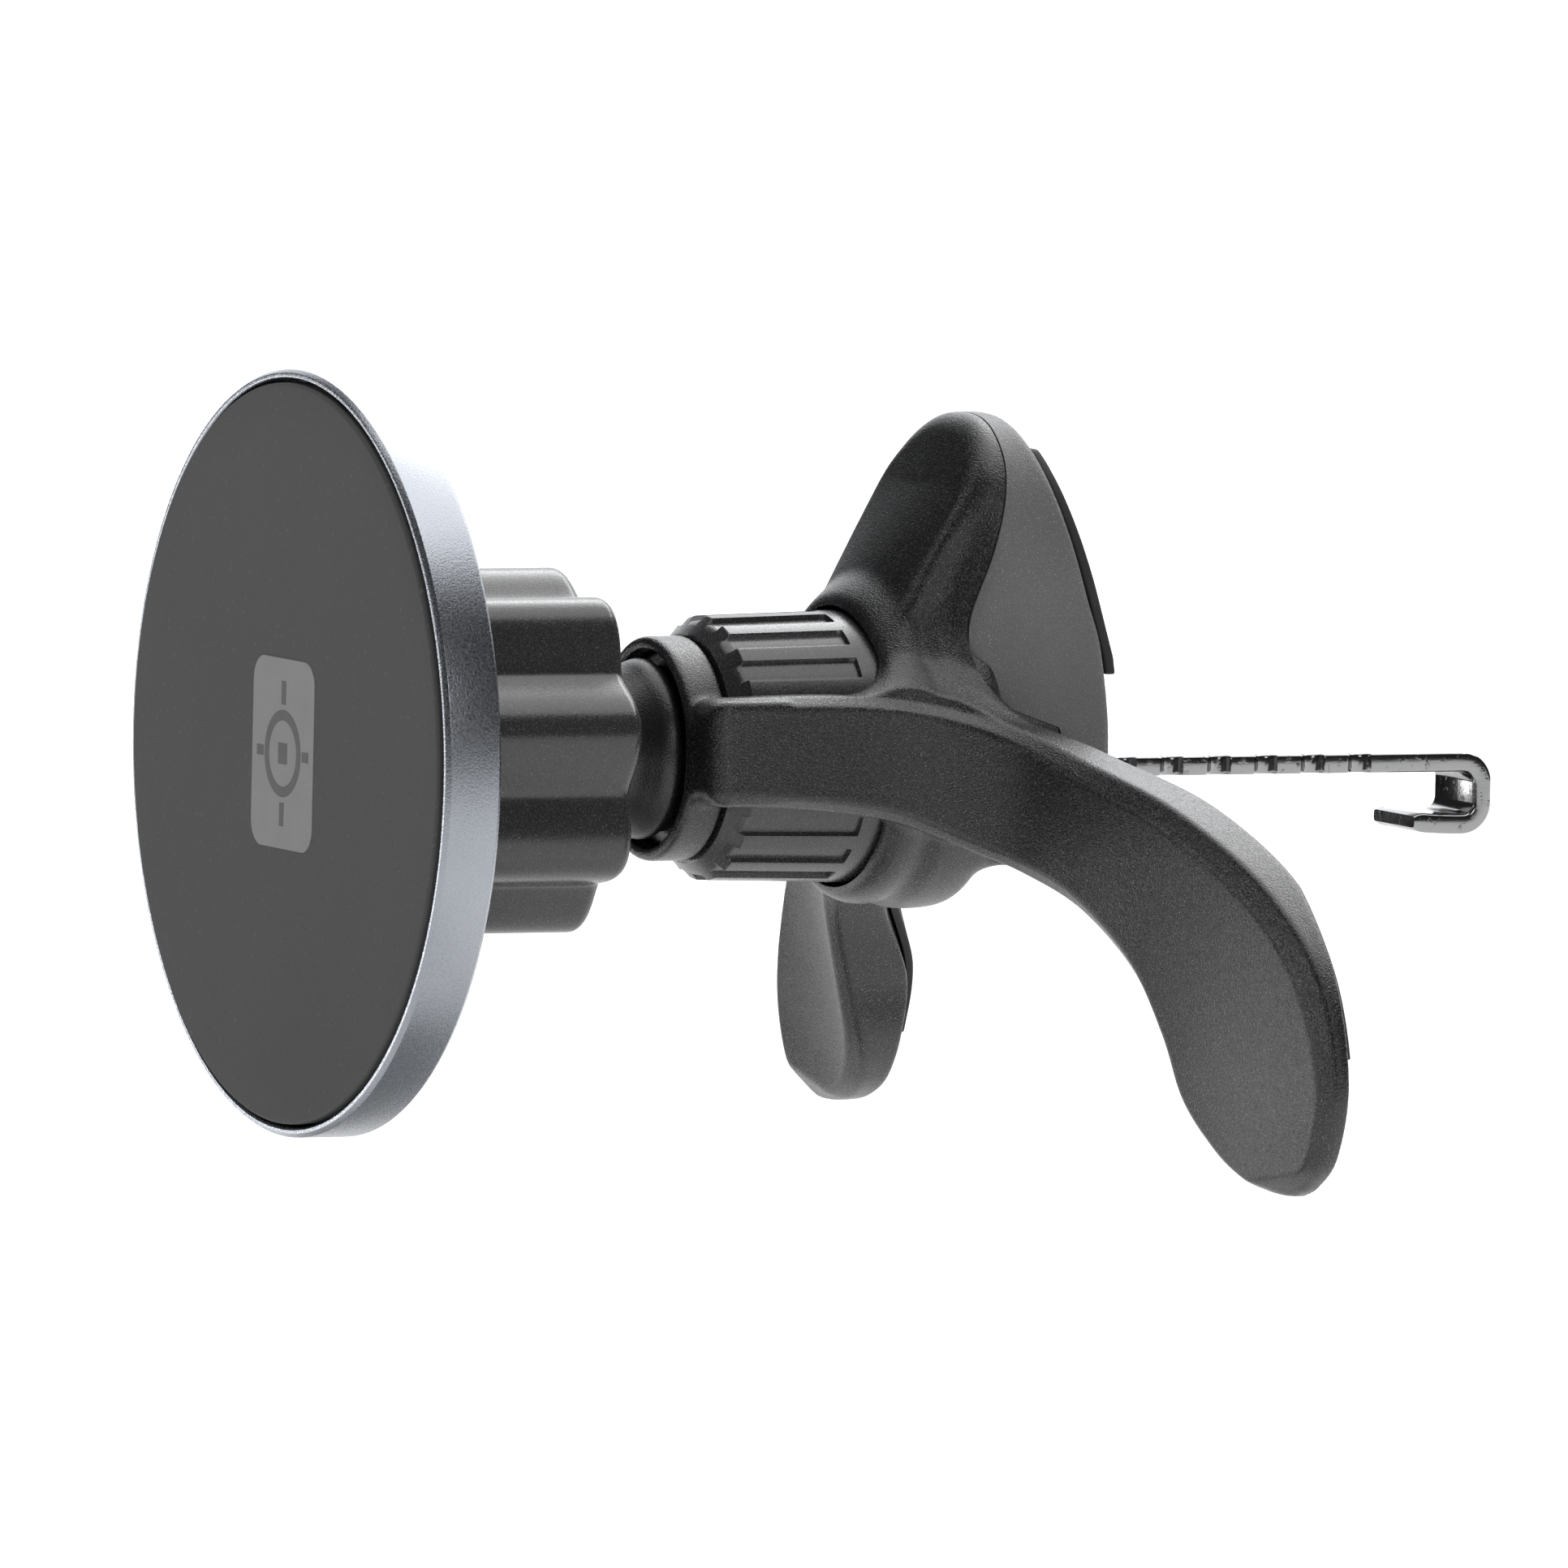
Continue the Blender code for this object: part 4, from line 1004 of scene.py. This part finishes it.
def build_hook():
    """A flat strip with a coarse thread cut into both edges and its end bent round into a J."""
    bend = HOOK_BEND - STRIP_THICK / 2
    centre = STRIP_TOP - STRIP_THICK / 2
    bend_y = STRIP_END - HOOK_BEND
    # Stations along the strip's middle: y, z and how far it has turned, in degrees
    path = [(y, centre, 0.0) for y in np.linspace(STRIP_TAIL, 92.0, 520)]
    path += [(y, centre, 0.0) for y in np.linspace(92.4, bend_y, 24)]
    for corner_z, first in ((STRIP_TOP - HOOK_BEND, 90), (HOOK_BOTTOM + HOOK_BEND, 0)):
        for step in range(17):
            t = math.radians(first - 90 * step / 16)
            y, z = bend_y + bend * math.cos(t), corner_z + bend * math.sin(t)
            path.append((y, z, 90.0 - math.degrees(t)))
    tip = STRIP_END - HOOK_LIP
    for t in np.linspace(0.05, 1, 14):
        path.append((bend_y - (bend_y - tip) * t, HOOK_BOTTOM + STRIP_THICK / 2 + 0.22 * t**2, 180.0))
    thinning = [1.0] * (len(path) - 3) + [0.97, 0.86, 0.6]
    rings = []
    for (y, z, turn), share in zip(path, thinning):
        across = math.radians(turn)
        up = np.array([0.0, math.sin(across), math.cos(across)]) * (STRIP_THICK / 2 * share)
        right, left = notch(y)
        sides = ((right, -up), (right, up), (-left, up), (-left, -up))
        rings.append(filleted([np.array([x, y, z]) + off for x, off in sides], 0.28, 4))
    obj = mesh_object("hook_strip", *lofted(rings), CHROME, 40)
    shown(obj, "hook", "chrome", "hook")


# ---------------------------------------------------------------- CAD pieces that stay


def finish_cad_nodes():
    """Gives the CAD nodes that still show their materials."""
    chosen = {
        "rear_cover": COVER, "steel_yoke": STEEL, "magnet_carrier": HIDDEN, "friction_cup": HIDDEN,
        "pressure_ring": HIDDEN, "clamp_ring": STEEL, "hook_guide": HIDDEN, "thrust_washer": STEEL,
        "circlip": STEEL,
    }
    for name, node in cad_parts.items():
        material = chosen.get(name)
        if "screw" in name:
            material = STEEL
        if name.startswith("magnet_") and name != "magnet_carrier":
            material = NICKEL
        if material and not node.hide_render:
            for place in node.material_slots:
                place.material = material


# ---------------------------------------------------------------- floor, light and camera


def emitter(name, place, towards, size, power):
    """A rectangular light that the camera does not see."""
    light = bpy.data.lights.new(name, "AREA")
    light.shape = "RECTANGLE"
    light.size, light.size_y = size
    light.energy = power
    obj = bpy.data.objects.new(name, light)
    obj.location = place
    obj.rotation_euler = (Vector(towards) - Vector(place)).to_track_quat("-Z", "Y").to_euler()
    obj.visible_camera = False
    bpy.context.scene.collection.objects.link(obj)


FLOOR_Z = -0.075
FLOOR_REACH = 4.5
# The bright part of the room: which way its middle lies, cosines of the angles where it fades in, brightness
WALL_WAY = (-0.7, 0.55, 0.45)
WALL_FADE = (("From Min", 0.76), ("From Max", 0.90), ("To Min", 0.03), ("To Max", 1.6))
# Cards that stand on the floor, as lines of feet (x, y) with their top, and mats on it, as two x and two y
FLAGS = (
    ("right_flag", ((0.74, 0.14), (0.75, -0.15), (0.55, -0.55), (0.25, -0.85)), 0.06),
    ("left_flag", ((-0.423, -0.154), (-0.448, -0.039), (-0.443, 0.078)), 0.08),
)
UNDER_MAT = (-0.07, 0.03, -0.01, 0.04)
LEFT_MAT = (-0.44, -0.26, -0.13, 0.01)
MAT_LIFT = 0.0005
# Name, place, point that it faces, size and power in watts
EMITTERS = (
    ("ceiling", (-0.4, 0.8, 2.5), (-0.2, 0.4, 0), (3.6, 3.6), 71),
    ("floor_glow", (-0.42, -0.32, -0.07), (-0.42, -0.32, 1), (0.5, 0.34), 2.3),
    ("front_card", (0.12, -1.3, 0.5), (0, 0.04, 0), (0.5, 0.4), 2.6),
    ("side_card", (1.3, 0.0, 0.48), (0, 0.05, 0), (0.5, 0.4), 1.6),
    ("floor_wash", (-1.2, 1.6, 1.6), (-1.6, 2.4, -0.08), (2.5, 2.5), 60),
)


def build_world():
    """The camera sees white. The piece is lit by a tall white wall behind it in an otherwise dark room."""
    world = bpy.data.worlds.new("studio")
    world.use_nodes = True
    bpy.context.scene.world = world
    tree = world.node_tree
    tree.nodes.clear()
    out = tree.nodes.new("ShaderNodeOutputWorld")
    seen, lit = tree.nodes.new("ShaderNodeBackground"), tree.nodes.new("ShaderNodeBackground")
    seen.inputs["Color"].default_value = (0.97, 0.97, 0.97, 1)
    path = tree.nodes.new("ShaderNodeLightPath")
    mix = tree.nodes.new("ShaderNodeMixShader")
    tree.links.new(path.outputs["Is Camera Ray"], mix.inputs["Fac"])
    tree.links.new(lit.outputs[0], mix.inputs[1])
    tree.links.new(seen.outputs[0], mix.inputs[2])
    tree.links.new(mix.outputs[0], out.inputs["Surface"])
    place = tree.nodes.new("ShaderNodeTexCoord")
    dot = tree.nodes.new("ShaderNodeVectorMath")
    dot.operation = "DOT_PRODUCT"
    dot.inputs[1].default_value = Vector(WALL_WAY).normalized()
    tree.links.new(place.outputs["Generated"], dot.inputs[0])
    ramp = tree.nodes.new("ShaderNodeMapRange")
    ramp.interpolation_type = "SMOOTHSTEP"
    for key, value in WALL_FADE:
        ramp.inputs[key].default_value = value
    tree.links.new(dot.outputs["Value"], ramp.inputs["Value"])
    tree.links.new(ramp.outputs["Result"], lit.inputs["Strength"])
    lit.inputs["Color"].default_value = (0.95, 0.97, 1.0, 1)


def paper(name, dark, light, per_mm=0.02, rough=0.95):
    """A plain card of one tone."""
    made = Nodes(name, Roughness=rough)
    made.colour(made.blend(made.noise(per_mm, 2.0), grey(dark), grey(light)))
    return made.material


def build_floor():
    reach, z = FLOOR_REACH, FLOOR_Z
    floor_mesh = bpy.data.meshes.new("floor")
    corners = [(-reach, -reach, z), (reach, -reach, z), (reach, reach, z), (-reach, reach, z)]
    floor_mesh.from_pydata(corners, [], [(0, 1, 2, 3)])
    floor = bpy.data.objects.new("floor", floor_mesh)
    bpy.context.scene.collection.objects.link(floor)
    floor_mesh.materials.append(paper("studio_paper", 0.93, 0.95, 0.002, 0.9))


def build_cards():
    """Black cards at the right and the left and a black mat keep the body's outer and front faces dark, and a
    grey mat below dims what they mirror of the floor. The camera sees none of them."""
    felt = paper("studio_felt", 0.012, 0.018)
    card = paper("studio_card", 0.27, 0.31, rough=0.9)
    cards = []
    for name, feet, top in FLAGS:
        points = [(x, y, z) for z in (FLOOR_Z, top) for x, y in feet]
        faces = [(i, i + 1, i + 1 + len(feet), i + len(feet)) for i in range(len(feet) - 1)]
        cards.append((name, points, faces, felt))
    for name, (x0, x1, y0, y1), material in (("under_mat", UNDER_MAT, card), ("left_mat", LEFT_MAT, felt)):
        z = FLOOR_Z + MAT_LIFT
        cards.append((name, [(x0, y0, z), (x1, y0, z), (x1, y1, z), (x0, y1, z)], [(0, 1, 2, 3)], material))
    for name, points, faces, material in cards:
        mesh = bpy.data.meshes.new(name)
        mesh.from_pydata(points, [], faces)
        mesh.materials.append(material)
        flag = bpy.data.objects.new(name, mesh)
        bpy.context.scene.collection.objects.link(flag)
        flag.visible_camera = False


def build_studio():
    build_world()
    build_floor()
    build_cards()
    for row in EMITTERS:
        emitter(*row)


# The camera's direction in degrees, its lens, the width in millimetres that fills its picture at the plate, and
# how far the plate's middle lies to the left of the picture's middle and above it
AZIMUTH, ELEVATION, ROLL = 64.7, 4.5, 1.3
LENS, SENSOR = 672.0, 36.0
VIEW_WIDTH = 118.30986
ASIDE, BELOW = 37.49, 2.30


def build_camera():
    a, e, r = (math.radians(v) for v in (AZIMUTH, ELEVATION, ROLL))
    back = Vector((math.sin(a) * math.cos(e), -math.cos(a) * math.cos(e), math.sin(e)))
    right = Vector((math.cos(a), math.sin(a), 0))
    up = back.cross(right)
    right, up = right * math.cos(r) + up * math.sin(r), up * math.cos(r) - right * math.sin(r)
    distance = LENS / SENSOR * VIEW_WIDTH
    data = bpy.data.cameras.new("camera")
    data.lens, data.sensor_width = LENS, SENSOR
    data.clip_start, data.clip_end = 0.1, 20.0
    camera = bpy.data.objects.new("camera", data)
    bpy.context.scene.collection.objects.link(camera)
    centre = Vector((0, BEZEL_FRONT, 0))
    place = (centre + back * distance + right * ASIDE - up * BELOW) * MM
    turn = Matrix((right, up, back)).transposed().to_4x4()
    camera.matrix_world = Matrix.Translation(place) @ turn
    bpy.context.scene.camera = camera


build_camera()
build_studio()
build_plate()
build_badge()
build_lock_nut()
build_stalk()
build_body()
build_leg_pads()
build_upper_pad()
build_adjusting_nut()
build_hook()
finish_cad_nodes()

bpy.context.scene.view_settings.view_transform = "Standard"
bpy.context.scene.view_settings.look = "None"
